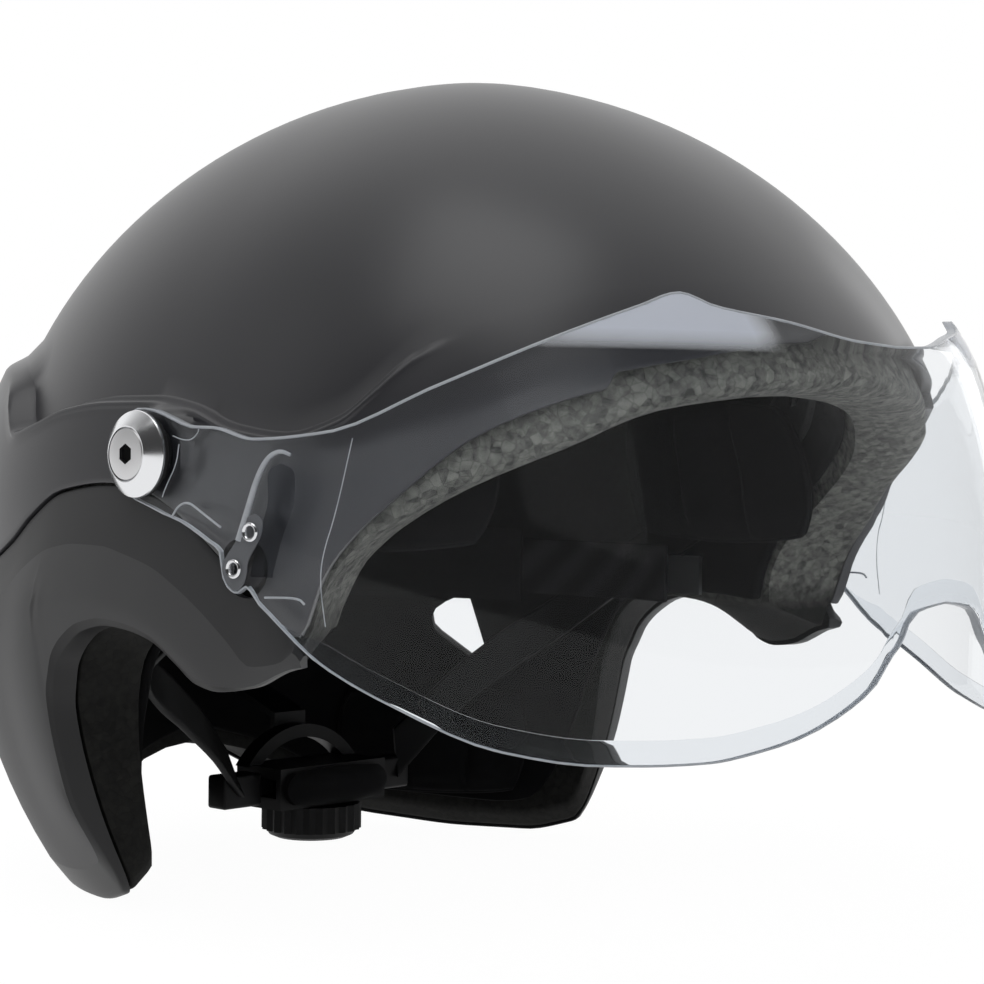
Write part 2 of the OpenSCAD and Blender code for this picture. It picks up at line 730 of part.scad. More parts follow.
module pivot_inserts() {
  insert_h = insert_top_x - insert_foot_x;
  color("#b08d4a")
    both_sides()
      on_pivot(insert_foot_x)
        difference() {
          cylinder(r = insert_r, h = insert_h, $fn = 48);
          translate([0, 0, -past])
            cylinder(r = screw_r + run, h = insert_h + 2 * past, $fn = 48);
        }
}

// Round magnet behind the recess that the visor's lower eyelet snaps to
latch = lens_point(eyelet_low[0], eyelet_low[1], 0);
latch_angle = atan2(-latch[0], dome_y - latch[1]);
latch_cut_h = 10;
// Stands children on the outside of the foam at the latch
module at_latch() {
  on_wall(latch_angle, latch[2], foam_out - belt_side) children();
}
module latch_magnets() {
  color("#101012")
    both_sides()
      at_latch()
        translate([0, 0, -magnet_t])
          cylinder(r = magnet_r, h = magnet_t, $fn = 48);
}

// Headband and fit cradle
hub_y = 65;
hub_z = -99;
hub_half = 22;
hub_depth = 20;
pinion_r = gear_module * pinion_teeth / 2;
rack_t = 5;
rack_stem = 3;
rack_out = 31.5;
sleeve_in = 24;
sleeve_out = 39;
sleeve_t = 8;
sleeve_h = 10;
sleeve_end = 1.2;
pin_angle = 37.5;
pin_r = 2;
pin_head_r = 4;
pin_head_t = 1.5;
pin_len = 16;
// Stands children at a place on the wall, +Z pointing out and tilted up
module on_wall(th, z, depth, tilt = 0) {
  p = skin_z(th, z, depth, 0);
  q = skin_z(th + 2, z, depth, 0) - skin_z(th - 2, z, depth, 0);
  translate(p) rotate([0, tilt - 90, atan2(q[1], q[0]) - 90]) children();
}
// The push pins stand square to the band, which leans in with the wall
pin_tilt = 15.7;
module at_pin() {
  on_wall(pin_angle, along(band_line, pin_angle), band_in_depth + 2 * gap, pin_tilt) children();
}
module pin_holes() {
  both_sides()
    at_pin() translate([0, 0, -past]) cylinder(r = pin_r + run, h = pin_len + 2 * past, $fn = 24);
  translate([0, hanger_y - 10, hanger_z])
    rotate([-90, 0, 0])
      cylinder(r = pin_r + run, h = 30, $fn = 24);
  both_sides()
    on_wall(anchor_angle, anchor_z, anchor_depth)
      translate([0, 0, -5]) cylinder(r = rivet_r + run, h = 22, $fn = 24);
}
module sleeve_block() {
  translate([-sleeve_out, hub_y - sleeve_t / 2, hub_z - sleeve_h / 2])
    cube([sleeve_out - sleeve_in, sleeve_t, sleeve_h]);
}
module headband() {
  band_angles = [
    0, 8, 16, 24, 32, 40, 48, 54, 58, 62, 68, 75, 82, 90, 98, 105, 112, 119, 126, 132, 138, 144, 150
  ];
  function column(th, inside) =
    let (z = along(band_line, abs(th)))
    [for (side = [1, 0, -1])
      let (h = z + side * band_h / 2)
      skin_z(th, h, band_depth(th, z) + (inside ? band_t : 0), 0)];
  // Each end of the band runs on into the closed end of its sleeve
  tail_angles = [band_angles[len(band_angles) - 2], band_angles[len(band_angles) - 1]];
  module band_tail() {
    hull() {
      wall(
        [for (th = tail_angles) column(mix(th, tail_angles[1], 0.8), false)],
        [for (th = tail_angles) column(mix(th, tail_angles[1], 0.8), true)]
      );
      translate([-sleeve_out, hub_y - sleeve_t / 2, hub_z - sleeve_h / 2])
        cube([sleeve_end, sleeve_t, sleeve_h]);
    }
  }
  color("#1a1a1b")
    difference() {
      union() {
        wall(
          [for (th = stretch(band_angles)) column(th, false)],
          [for (th = stretch(band_angles)) column(th, true)]
        );
        both_sides() {
          sleeve_block();
          band_tail();
        }
      }
      both_sides()
        translate([sleeve_end - sleeve_out, hub_y - rack_stem / 2 - gap, hub_z - rack_t / 2 - gap])
          cube([sleeve_out, rack_stem + 2 * gap, rack_t + 2 * gap]);
      both_sides()
        at_pin() {
          translate([0, 0, -past]) cylinder(r = pin_r + run, h = 10, $fn = 24);
          translate([0, 0, -10]) cylinder(r = pin_head_r + gap, h = 10, $fn = 32);
        }
    }
}
module push_pin() {
  translate([0, 0, -pin_head_t]) cylinder(r = pin_head_r, h = pin_head_t, $fn = 32);
  cylinder(r = pin_r, h = pin_len, $fn = 24);
}
module headband_pins() {
  color("#222224") both_sides() at_pin() push_pin();
}

// The hub is a flat sleeve that the racks slide in, with an open arch standing on it
hub_h = 12.5;
hub_wall = 2;
arch_hole = 34;
arch_rise = 7;
arch_band = 4;
arch_t = 6;
arch_back = hub_y + hub_depth / 2;
arch_r = (arch_hole * arch_hole / 4 + arch_rise * arch_rise) / (2 * arch_rise);
hub_top = hub_z + hub_h / 2;
hub_low = hub_z - hub_h / 2;
axle_r = 4;
module cradle() {
  color("#1d1d1f")
    difference() {
      union() {
        translate([-hub_half, hub_y - hub_depth / 2, hub_low])
          cube([2 * hub_half, hub_depth, hub_h]);
        translate([0, arch_back, hub_top + arch_rise - arch_r])
          rotate([90, 0, 0])
            intersection() {
              difference() {
                cylinder(r = arch_r + arch_band, h = arch_t, $fn = 96);
                translate([0, 0, -past]) cylinder(r = arch_r, h = arch_t + 2 * past, $fn = 96);
              }
              translate([-40, arch_r - arch_rise - 0.5, 0]) cube([80, 40, arch_t]);
            }
      }
      translate([-40, hub_y - hub_depth / 2 + hub_wall, hub_z - rack_t / 2 - gap])
        cube([80, hub_depth - 2 * hub_wall, rack_t + 2 * gap]);
      translate([0, hub_y, hub_low - past])
        cylinder(r = axle_r + run, h = hub_h / 2 + past, $fn = 40);
    }
}
// Soft pad on the face of the hub that meets the head
cradle_pad_t = 5;
module cradle_pad() {
  function sheet(front) =
    [for (i = [0:10])
      [for (j = [0:5])
        let (
          a = i / 5 - 1,
          b = j / 2.5 - 1,
          x = (hub_half - 1) * a * sqrt(1 - pad_round * b * b / 2),
          z = hub_z - (hub_h / 2 - 0.5) * b * sqrt(1 - pad_round * a * a / 2),
          puff = (1 - pow(a, 4)) * (1 - pow(b, 4)),
          t = front ? cradle_pad_t * mix(pad_edge_t, 1, puff) : 0
        )
        [-x, hub_y - hub_depth / 2 - gap - t, z]]];
  color("#19191b") wall(sheet(true), sheet(false));
}

// A flat strap hangs the cradle from the nape foam
hanger_z = -56;
hanger_half = 7;
hanger_y = skin_z(180, hanger_z - hanger_half, lining_in(hanger_z), 0)[1] - band_slack;
hanger_w = 13;
hanger_t = 1.8;
hanger_foot_y = arch_back + gap;
hanger_foot_z = hub_top + arch_rise;
module hanger_strap() {
  knee_z = hanger_foot_z + arch_band + 3;
  color("#202022")
    difference() {
      translate([-hanger_w / 2, 0, 0])
        rotate([90, 0, 90])
          linear_extrude(height = hanger_w)
            polygon([
              [hanger_foot_y, hanger_foot_z], [hanger_foot_y + hanger_t, hanger_foot_z],
              [hanger_foot_y + hanger_t, knee_z - 1], [hanger_y, hanger_z - hanger_half],
              [hanger_y, hanger_z + hanger_half], [hanger_y - hanger_t, hanger_z + hanger_half],
              [hanger_y - hanger_t, hanger_z - hanger_half + 1.5], [hanger_foot_y, knee_z + 0.5]
            ]);
      translate([0, hanger_y - 5, hanger_z])
        rotate([-90, 0, 0])
          cylinder(r = pin_r + run, h = 10, $fn = 24);
    }
}
module hanger_pin() {
  color("#222224")
    translate([0, hanger_y - hanger_t - 0.1, hanger_z])
      rotate([-90, 0, 0])
        push_pin();
}

// Fit dial with its pinion, and the two racks that it draws together
tooth_tip = 0.8 * gear_module;
tooth_root = 1.15 * gear_module;
tooth_half = 0.6 * gear_module;
tooth_slope = 0.34;
pinion_t = rack_t - 0.4;
function gear_tooth(i) =
  let (mid = 90 + i * 360 / pinion_teeth, k = 180 / PI)
  [for (row = [
      [pinion_r - tooth_root, -tooth_half - tooth_root * tooth_slope],
      [pinion_r, -tooth_half], [pinion_r + tooth_tip, -tooth_half + tooth_tip * tooth_slope * 1.5],
      [pinion_r + tooth_tip, tooth_half - tooth_tip * tooth_slope * 1.5],
      [pinion_r, tooth_half], [pinion_r - tooth_root, tooth_half + tooth_root * tooth_slope]
    ])
    let (at = mid + row[1] / row[0] * k)
    [row[0] * cos(at), row[0] * sin(at)]];
module dial_pinion() {
  color("#d8d4c8")
    translate([0, hub_y, 0]) {
      translate([0, 0, hub_z - pinion_t / 2])
        linear_extrude(height = pinion_t)
          polygon([for (i = [0:pinion_teeth - 1]) each gear_tooth(i)]);
      difference() {
        translate([0, 0, hub_low - axle_len])
          cylinder(r = axle_r, h = hub_z - pinion_t / 2 - hub_low + axle_len, $fn = 40);
        translate([0, 0, hub_low - axle_len - past])
          cylinder(r = dial_screw_r, h = axle_len, $fn = 32);
      }
    }
}
axle_len = 7;
dial_screw_r = 1.6;
dial_screw_head_r = 4.6;
dial_screw_head_t = 1.6;
dial_top = hub_low - gap;
dial_rib = 0.9;
module dial_knob() {
  floor_z = hub_low - axle_len - gap;
  color("#1f1f20")
    translate([0, hub_y, 0])
      difference() {
        translate([0, 0, dial_top - dial_t])
          union() {
            translate([0, 0, 2.5])
              linear_extrude(height = dial_t - 2.5)
                polygon([for (i = [0:2 * dial_ribs - 1])
                  let (r = dial_r - (i % 2) * dial_rib, at = i * 180 / dial_ribs)
                  [r * cos(at), r * sin(at)]]);
            rotate_extrude($fn = 72)
              polygon([
                [0, 0], [dial_r - 4.5, 0], [dial_r - 2.4, 0.9], [dial_r - 1.2, 2.5], [0, 2.5]
              ]);
          }
        translate([0, 0, floor_z]) cylinder(r = axle_r + 0.1, h = dial_t, $fn = 40);
        translate([0, 0, dial_top - dial_t - past])
          cylinder(r = dial_screw_r + run, h = dial_t, $fn = 32);
        translate([0, 0, dial_top - dial_t - past])
          cylinder(r = dial_screw_head_r + run, h = past + dial_screw_head_t, $fn = 40);
      }
}
module dial_screw() {
  foot = dial_top - dial_t;
  color("#9a9b9d")
    translate([0, hub_y, foot])
      difference() {
        union() {
          cylinder(r = dial_screw_head_r, h = dial_screw_head_t - 0.1, $fn = 40);
          cylinder(r = dial_screw_r - 0.1, h = 6, $fn = 32);
        }
        translate([-0.5, -3, -past]) cube([1, 6, past + 0.7]);
        translate([-3, -0.5, -past]) cube([6, 1, past + 0.7]);
      }
}
rack_pitch = PI * gear_module;
rack_first = -4;
rack_last = 3;
rack_back = hub_depth / 2 - hub_wall - gap;
// Half length of the toothed bar, and where its shoulders run out to the stem
rack_wide = 13.5;
rack_shoulder = 17.5;
module rack() {
  root = pinion_r + tooth_root;
  teeth = [for (k = [rack_first:rack_last])
    let (x = (k + 0.5) * rack_pitch)
    each [
      [x - tooth_half - tooth_root * tooth_slope, root],
      [x - tooth_half + tooth_tip * tooth_slope, pinion_r - tooth_tip],
      [x + tooth_half - tooth_tip * tooth_slope, pinion_r - tooth_tip],
      [x + tooth_half + tooth_root * tooth_slope, root]
    ]];
  translate([0, hub_y, hub_z - rack_t / 2])
    linear_extrude(height = rack_t)
      polygon(concat(
        [[-rack_out, rack_stem / 2], [-rack_out, -rack_stem / 2],
          [-rack_shoulder, -rack_stem / 2], [-rack_wide, root]],
        teeth,
        [[rack_wide, root], [rack_wide, rack_back], [-rack_wide, rack_back],
          [-rack_shoulder, rack_stem / 2]]
      ));
}
module rack_right() {
  color("#26262a") rack();
}
module rack_left() {
  color("#26262a")
    translate([0, hub_y, 0]) rotate([0, 0, 180]) translate([0, -hub_y, 0])
      rack();
}

// Chin strap, stowed round the back of the lining with its buckle closed
anchor_angle = 80;
anchor_z = -34;
anchor_depth = lining_in(anchor_z) + 4.2;
anchor_t = 1.4;
anchor_foot_r = 5.5;
anchor_foot_t = 3.2;
rivet_r = 2.2;
buckle_depth = 4.6;
strap_line = [
  [0, 79], [1, 88], [2, 100], [3, 112], [4, 124], [5, 134], [6, 144], [7, 156], [8, 170], [9, 184],
  [10, 198], [11, 212], [12, 226], [13, 240], [14, 252], [15, 264], [16, 273], [17, 281]
];
strap_height_line = [[0, -34], [3, -33.5], [5, -33], [8, -32], [9, -32], [14, -33.5], [17, -34]];
strap_depth_line = [
  [0, 6.7], [1, 6], [2.3, 5.2], [3, 4.8], [3.7, 2.3], [4, 1.9], [7, 1.9], [9, 2.2], [12, 3],
  [14, 4.8], [16, 6], [17, 6.7]
];
function on_lining(s, depth) =
  let (z = along(strap_height_line, s))
  skin_z(along(strap_line, s), z, lining_in(z) + depth, 0);
function strap_at(s) = on_lining(s, along(strap_depth_line, s));
// A flat ribbon along points, standing on edge, as one closed wall
module ribbon(points, w, t, lift = 0, crown = 0) {
  n = len(points);
  function at(i) =
    let (
      p = points[i],
      ahead = unit(points[min(i + 1, n - 1)] - points[max(i - 1, 0)]),
      inward = unit([-p[0], dome_y - p[1], 0]),
      wide = unit(cross(inward, ahead)),
      in = unit(cross(ahead, wide)),
      up = wide[2] > 0 ? wide : -wide
    )
    [p, up, in * inward > 0 ? in : -in];
  function rise_at(i, k, inside) =
    let (ends = i == 0 || i == n - 1 ? 0.3 : 1)
    lift + (inside ? t / 2 + crown * ends * (1 - pow(abs(k) / 2, 3)) : -t / 2);
  function sheet(inside) =
    [for (i = [0:n - 1])
      let (f = at(i))
      [for (k = [2:-1:-2]) f[0] + f[1] * (k * w / 4) + f[2] * rise_at(i, k, inside)]];
  wall(sheet(false), sheet(true));
}
module strap_anchors() {
  color("#7c7d80")
    both_sides()
      on_wall(anchor_angle, anchor_z, anchor_depth) {
        translate([-6, -9, -anchor_t]) cube([12, 14, anchor_t]);
        cylinder(r = anchor_foot_r, h = anchor_foot_t, $fn = 32);
        cylinder(r = rivet_r, h = 14, $fn = 24);
      }
}
// Lengths of the ribbon on each side of the buckle
strap_right_end = 4.35;
strap_left_start = 6.05;
module strap_right() {
  color("#1b1b1c")
    ribbon([for (s = [0.35:0.5:strap_right_end]) strap_at(s)], strap_w, strap_t);
}
module strap_left() {
  color("#1b1b1c")
    ribbon([for (s = [strap_left_start:0.5:16.65]) strap_at(s)], strap_w, strap_t);
}
module chin_pad() {
  color("#19191b")
    ribbon([for (s = [9:0.5:13]) strap_at(s)], strap_w + 6, 0.6, strap_t / 2 + gap + 0.3, 3.4);
}

// Ratchet buckle: toothed tongue under a sprung lever on a pin
buckle_s = 5;
module at_buckle() {
  q = on_lining(buckle_s + 0.2, buckle_depth) - on_lining(buckle_s - 0.2, buckle_depth);
  translate(on_lining(buckle_s, buckle_depth)) rotate([0, 0, atan2(-q[1], -q[0])]) children();
}
base_t = 2;
side_t = 2;
tongue_t = 2;
tongue_w = 14;
lever_t = 2.2;
lever_y = 6.4;
lever_pin_x = 9;
lever_pin_r = 1.5;
tooth_h = 1;
module buckle_body() {
  color("#232325")
    at_buckle()
      difference() {
        union() {
          translate([-buckle_len / 2, 0, -buckle_w / 2]) cube([buckle_len, base_t, buckle_w]);
          for (side = [-1, 1])
            translate([-buckle_len / 2 + 6, base_t, side * (buckle_w - side_t) / 2 - side_t / 2])
              cube([buckle_len - 8, lever_y - base_t + 2, side_t]);
        }
        translate([lever_pin_x, lever_y - 0.4, -buckle_w])
          cylinder(r = lever_pin_r + 0.1, h = 2 * buckle_w, $fn = 32);
      }
}
module buckle_pin() {
  color("#a6a7aa")
    at_buckle()
      translate([lever_pin_x, lever_y - 0.4, -buckle_w / 2])
        cylinder(r = lever_pin_r, h = buckle_w, $fn = 32);
}
module buckle_lever() {
  inner = buckle_w - 2 * side_t - 2 * gap;
  color("#2b2b2d")
    at_buckle()
      difference() {
        union() {
          translate([-buckle_len / 2 - 2, lever_y, -inner / 2])
            cube([buckle_len / 2 + 2 + lever_pin_x, lever_t, inner]);
          translate([lever_pin_x, lever_y - 0.4, -inner / 2])
            cylinder(r = lever_t + 0.4, h = inner, $fn = 48);
          translate([-4, base_t + tongue_t + tooth_h + 0.5, -inner / 2])
            cube([3, lever_y - base_t - tongue_t - tooth_h, inner]);
        }
        translate([lever_pin_x, lever_y - 0.4, -buckle_w])
          cylinder(r = lever_pin_r + 0.1, h = 2 * buckle_w, $fn = 32);
      }
}
tongue_tail = 8;
tongue_pitch = 2.4;
module buckle_tongue() {
  tail_x = -buckle_len / 2 - tongue_tail;
  teeth = [for (i = [7:-1:0])
    let (x = -buckle_len / 2 + 4 + i * tongue_pitch)
    each [[x + tongue_pitch - 0.2, tongue_t], [x, tongue_t + tooth_h]]];
  color("#2b2b2d")
    at_buckle()
      translate([0, base_t + run, -tongue_w / 2])
        linear_extrude(height = tongue_w)
          polygon(concat(
            [[tail_x, 0], [5, 0], [5, tongue_t * 0.5], [4, tongue_t]],
            teeth,
            [[tail_x, tongue_t]]
          ));
}

upper_shell();
lower_shell();
eps_liner();
comfort_lining();
pad_front();
pad_crown();
pad_side_right();
pad_side_left();
pad_lobe_right();
pad_lobe_left();
visor_lens();
visor_eyelets();
visor_bushings();
latch_magnets();
pivot_washers_inner();
pivot_washers_outer();
pivot_caps();
pivot_screws();
pivot_inserts();
headband();
headband_pins();
cradle();
cradle_pad();
hanger_strap();
hanger_pin();
dial_knob();
dial_pinion();
dial_screw();
rack_right();
rack_left();
strap_anchors();
strap_right();
strap_left();
chin_pad();
buckle_body();
buckle_lever();
buckle_pin();
buckle_tongue();
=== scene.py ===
"""Looks of a commuter bicycle helmet with a clear flip-up visor.

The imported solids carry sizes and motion. Here the shells, foam, fabric and lens are
modelled again from the same curves with finer faces, soft edges and real surface finishes.
Lengths in the tables are millimetres, and every mesh is made in metres.
"""

import math

import bpy
import numpy as np
from mathutils import Matrix, Vector


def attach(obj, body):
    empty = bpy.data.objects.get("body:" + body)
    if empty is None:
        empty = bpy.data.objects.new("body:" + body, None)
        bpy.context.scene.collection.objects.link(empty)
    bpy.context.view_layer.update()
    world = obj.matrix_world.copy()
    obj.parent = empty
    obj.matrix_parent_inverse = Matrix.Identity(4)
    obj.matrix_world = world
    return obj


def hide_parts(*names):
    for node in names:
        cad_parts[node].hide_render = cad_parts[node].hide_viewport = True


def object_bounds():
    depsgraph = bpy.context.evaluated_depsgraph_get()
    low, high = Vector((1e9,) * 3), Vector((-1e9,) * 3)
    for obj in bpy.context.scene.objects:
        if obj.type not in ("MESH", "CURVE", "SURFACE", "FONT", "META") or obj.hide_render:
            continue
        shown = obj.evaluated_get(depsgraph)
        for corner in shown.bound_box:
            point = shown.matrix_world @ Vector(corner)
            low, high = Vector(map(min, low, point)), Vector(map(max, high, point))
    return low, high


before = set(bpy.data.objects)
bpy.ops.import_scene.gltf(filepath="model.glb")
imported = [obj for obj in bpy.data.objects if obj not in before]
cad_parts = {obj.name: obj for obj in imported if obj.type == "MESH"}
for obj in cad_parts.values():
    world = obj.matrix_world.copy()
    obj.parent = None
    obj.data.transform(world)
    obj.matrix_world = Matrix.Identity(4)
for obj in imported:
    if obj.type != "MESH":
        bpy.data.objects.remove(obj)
cad_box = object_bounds()
bpy.ops.object.select_all(action="DESELECT")

MM = 0.001

# Curves of the helmet

HALF_W, FRONT, REAR, RISE = 118, 147, 144, 126
BELT_SIDE, BELT_REAR, SHELL_WALL = 3, 7, 3
DOME_Y, WIDE_Z = 3, -16.5
SQUARENESS, ROUNDNESS = 2.27, 1.9
SKIRT_H, SKIRT_CURL, SKIRT_POWER = 130, 48, 2.5
STEP_H, STEP_REAR_H, LIP_H = 2, 8, 0.5
BELT_FADE_FROM, BELT_FADE_OVER = 48, 10
# Behind this angle the belt's step grows softer, and its lip rolls this far below the step
STEP_SOFT_FROM, STEP_SOFT_OVER, LIP_DOWN = 121, 7, 1.5
PIVOT_Y, PIVOT_Z = -7.5, 1
# The angle of the wing's tip, where the brow's edge meets the seam
TIP = 63.8

# Rows of [angle from the front, height], the same on both sides
STEP_LINE = [
    [0, 46], [9, 45], [27.5, 41], [42.5, 33], [52, 25], [55.5, 18], [60, 10], [66.5, 6],
    [74, 8], [81, 13], [88.5, 15.3], [97, 15.4], [105, 14], [112.3, 10], [117.3, 7.8],
    [120.6, 13.3], [124, 21], [129, 26], [135, 28.5], [150, 31.5], [180, 34.5],
]
BROW_LINE = [
    [0, 30.3], [9.4, 29.6], [14.9, 28], [22.6, 24.7], [29.7, 21.6], [30.9, 20.9], [32.1, 16.9],
    [33.5, 16.1], [39, 11.8], [45.5, 4.7], [52.6, -8.3], [58.6, -21.2], [61, -29],
    [62.9, -39.9], [63.8, -42.8],
]
SEAM_LINE = [
    [63.8, -42.8], [66.3, -38], [68.8, -33.7], [73.6, -25.9], [76.9, -20.2], [81, -13.5],
    [86, -8.8], [94.2, -6.3], [103.3, -8.4], [110, -15.2], [115.2, -22.2], [125, -30.5],
    [137, -36.5], [158, -39.5], [180, -40.5],
]
RIM_LINE = [
    [61.8, -47.3], [62.6, -49.1], [65.7, -51.1], [70.4, -55.6], [74.6, -56.7], [77.8, -55.2],
    [80.7, -50.6], [84.5, -45.4], [88.8, -43.1], [92.3, -42.5], [96.7, -44.3], [99.9, -48.3],
    [102.5, -53.9], [103.8, -59.9], [104.9, -66.2], [105.4, -76], [105.8, -86], [106.4, -96],
    [107.2, -106], [108, -112.5], [109.5, -117.7], [111.5, -119.1], [120, -122.4],
    [132, -122.8], [145, -120.5], [154, -117], [161, -111], [167, -102], [173, -95.5],
    [180, -93.5],
]
CREASE_LINE = [
    [61.8, -43.5], [63.8, -45], [66.4, -48.9], [70.2, -50.1], [73.5, -43.9], [77, -37.4],
    [80.9, -31.6], [84.9, -27], [89.3, -24.3], [93.8, -22.3], [98.7, -22.1], [103.8, -23.5],
    [110, -29], [117, -38], [128, -47], [145, -53], [180, -56],
]
FOAM_BROW_LINE = [
    [0, 17.8], [9.5, 16.9], [16.2, 15.3], [24.4, 12.3], [34.4, 3.4], [47.9, -9.2],
    [58.9, -24.1], [62.7, -35.9], [64.1, -44.6], [65, -47.6],
]
LINING_EDGE = [
    [0, 22.5], [9.3, 21.7], [23.8, 16.7], [34.4, 8.2], [47.4, -4.3], [57.4, -18.2],
    [62.3, -32], [65, -41], [72.5, -40], [79.9, -39.5], [86.8, -38.5], [92.5, -38.1],
    [98.1, -42.9], [102.6, -52.3], [106.8, -68.3], [110.5, -88], [114, -103], [118, -110.5],
    [125, -112.5], [142, -111], [154, -105.5], [166, -94], [180, -86],
]
BROW_ANGLES = [0, 7, 14, 21, 27, 30, 30.9, 32.1, 33, 36, 42, 48, 54, 58, 60.5, 62.8]
SEAM_ANGLES = [
    65.3, 68.5, 72, 75.5, 79, 82.5, 86.5, 91.5, 96.5, 101.5, 106.5, 111, 114.5, 117.3,
    120.5, 124, 129, 135, 143, 152, 161, 170, 180,
]
RIM_ANGLES = [
    63.5, 65, 67.5, 70.5, 73.5, 76.5, 79, 82, 85, 88.5, 92, 95.5, 98.5, 101, 102.7, 103.8,
    104.7, 105.3, 105.8, 106.4, 107.2, 108.5, 110.5, 115, 121, 129, 137, 145, 152, 157,
    162, 167, 173, 180,
]
FOAM_ANGLES = [
    64.3, 66.5, 69.5, 73, 77, 80.5, 84.5, 89, 93, 97, 100, 102.2, 103.8, 104.7, 105.3,
    105.8, 106.4, 107.2, 108.5, 111, 114.5, 117.3, 120.5, 124, 129, 135, 143, 152, 161,
    170, 180,
]
LINING_ANGLES = [
    0, 8, 16, 24, 32, 40, 47, 53, 58, 62, 66, 71, 77, 83, 89, 95, 100, 103.5, 106.5, 109,
    112, 116, 122, 132, 142, 151, 160, 170, 180,
]


def clamp(x, low=0.0, high=1.0):
    return min(max(x, low), high)


def ease(x):
    c = clamp(x)
    return c * c * (3 - 2 * c)


def mix(a, b, t):
    return a + (b - a) * t


def along(rows, x):
    """The smooth line through rows of [x, value], which never overshoots them."""
    i = 0
    while i < len(rows) - 2 and x >= rows[i + 1][0]:
        i += 1

    def rise(k):
        return (rows[k + 1][1] - rows[k][1]) / (rows[k + 1][0] - rows[k][0])

    def slope(k):
        if k == 0:
            return rise(0)
        if k == len(rows) - 1:
            return rise(k - 1)
        a, b = rise(k - 1), rise(k)
        return 0 if a * b <= 0 else 2 * a * b / (a + b)

    h = rows[i + 1][0] - rows[i][0]
    t = clamp((x - rows[i][0]) / h)
    a, b, u, v = slope(i) * h, slope(i + 1) * h, rows[i][1], rows[i + 1][1]
    return u + t * (a + t * (3 * (v - u) - 2 * a - b + t * (2 * (u - v) + a + b)))


def run(a, b, n):
    """The values from a to b in n even steps."""
    return [mix(a, b, k / n) for k in range(n + 1)]


def finer(values, parts):
    """The same row of values with each gap cut into parts."""
    out = []
    for a, b in zip(values, values[1:]):
        out += run(a, b, parts)[:-1]
    return out + [values[-1]]


def from_crown(end, n):
    """Levels from the crown down to an end in n steps, a little closer lower down."""
    return [end * (k / n) ** 0.9 for k in range(n + 1)]


def all_round(half, parts):
    """Angles right round the head, first and last the same place."""
    side = finer(half, parts)
    return [-a for a in reversed(side)] + side[1:]


def from_tip(half, parts):
    """Angles from the right tip round the back to the left tip."""
    side = finer(half, parts)
    return side + [-a for a in reversed(side[:-1])]


def belt_at(th, z):
    """How far the belt stands proud, with a rolled lip along its top."""
    below = along(STEP_LINE, abs(th)) - z
    soft = mix(STEP_H, STEP_REAR_H, ease((abs(th) - STEP_SOFT_FROM) / STEP_SOFT_OVER))
    proud = BELT_SIDE + (BELT_REAR - BELT_SIDE) * clamp(0.3 - math.cos(math.radians(th)))
    proud += LIP_H * math.exp(-((below - LIP_DOWN) ** 2))
    return proud * ease((abs(th) - BELT_FADE_FROM) / BELT_FADE_OVER) * ease(below / soft + 0.5)


def level_r(th, depth):
    s, c = math.sin(math.radians(th)), math.cos(math.radians(th))
    reach = (FRONT if c > 0 else REAR) - depth
    square = abs(s / (HALF_W - depth)) ** SQUARENESS + abs(c / reach) ** SQUARENESS
    return square ** (-1 / SQUARENESS)


def level_of(z, depth=0.0):
    if z > WIDE_Z:
        t = clamp((z - WIDE_Z) / (RISE - depth))
        return math.degrees(math.acos(t ** (ROUNDNESS / 2))) / 90
    return 1 + (WIDE_Z - z) / SKIRT_H


def skin(th, level, depth=0.0, belt=1.0):
    """A point of the helmet's skin at an angle and a level, sunk in by a depth."""
    up, down = math.radians(90 * min(level, 1)), max(level - 1, 0)
    z = WIDE_Z + (RISE - depth) * math.cos(up) ** (2 / ROUNDNESS) - down * SKIRT_H
    r = level_r(th, depth - belt * belt_at(th, z))
    rho = r * math.sin(up) ** (2 / ROUNDNESS) - SKIRT_CURL * down**SKIRT_POWER
    a = math.radians(th)
    return Vector((-rho * math.sin(a), DOME_Y - rho * math.cos(a), z))


def skin_z(th, z, depth=0.0, belt=1.0):
    return skin(th, level_of(z, depth), depth, belt)


FOAM_OUT = SHELL_WALL + 1
FOAM_WALL, FOAM_LOBE_WALL, FOAM_TIP_WALL = 19.4, 12.2, 1.6
# Heights below which the foam thins into the lobes and then to their tips, and over what
LOBE_Z, LOBE_OVER, THIN_Z, THIN_OVER = -30, 30, -62, 60


def foam_in(z):
    wall = mix(FOAM_WALL, FOAM_LOBE_WALL, ease((LOBE_Z - z) / LOBE_OVER))
    return FOAM_OUT + wall - (FOAM_LOBE_WALL - FOAM_TIP_WALL) * clamp((THIN_Z - z) / THIN_OVER)


def lining_out(z):
    return foam_in(z) + 1


def lining_in(z):
    return lining_out(z) + 3


def height_of(level):
    return 0 if level < 1 else WIDE_Z - (level - 1) * SKIRT_H


def shell_edge(th):
    a = abs(th)
    return along(BROW_LINE if a < TIP else SEAM_LINE, a)


# Making the meshes


def named(piece, name):
    piece.name = piece.data.name = name
    return piece


def select_only(*pieces):
    bpy.ops.object.select_all(action="DESELECT")
    for piece in pieces:
        piece.select_set(True)
    bpy.context.view_layer.objects.active = pieces[0]


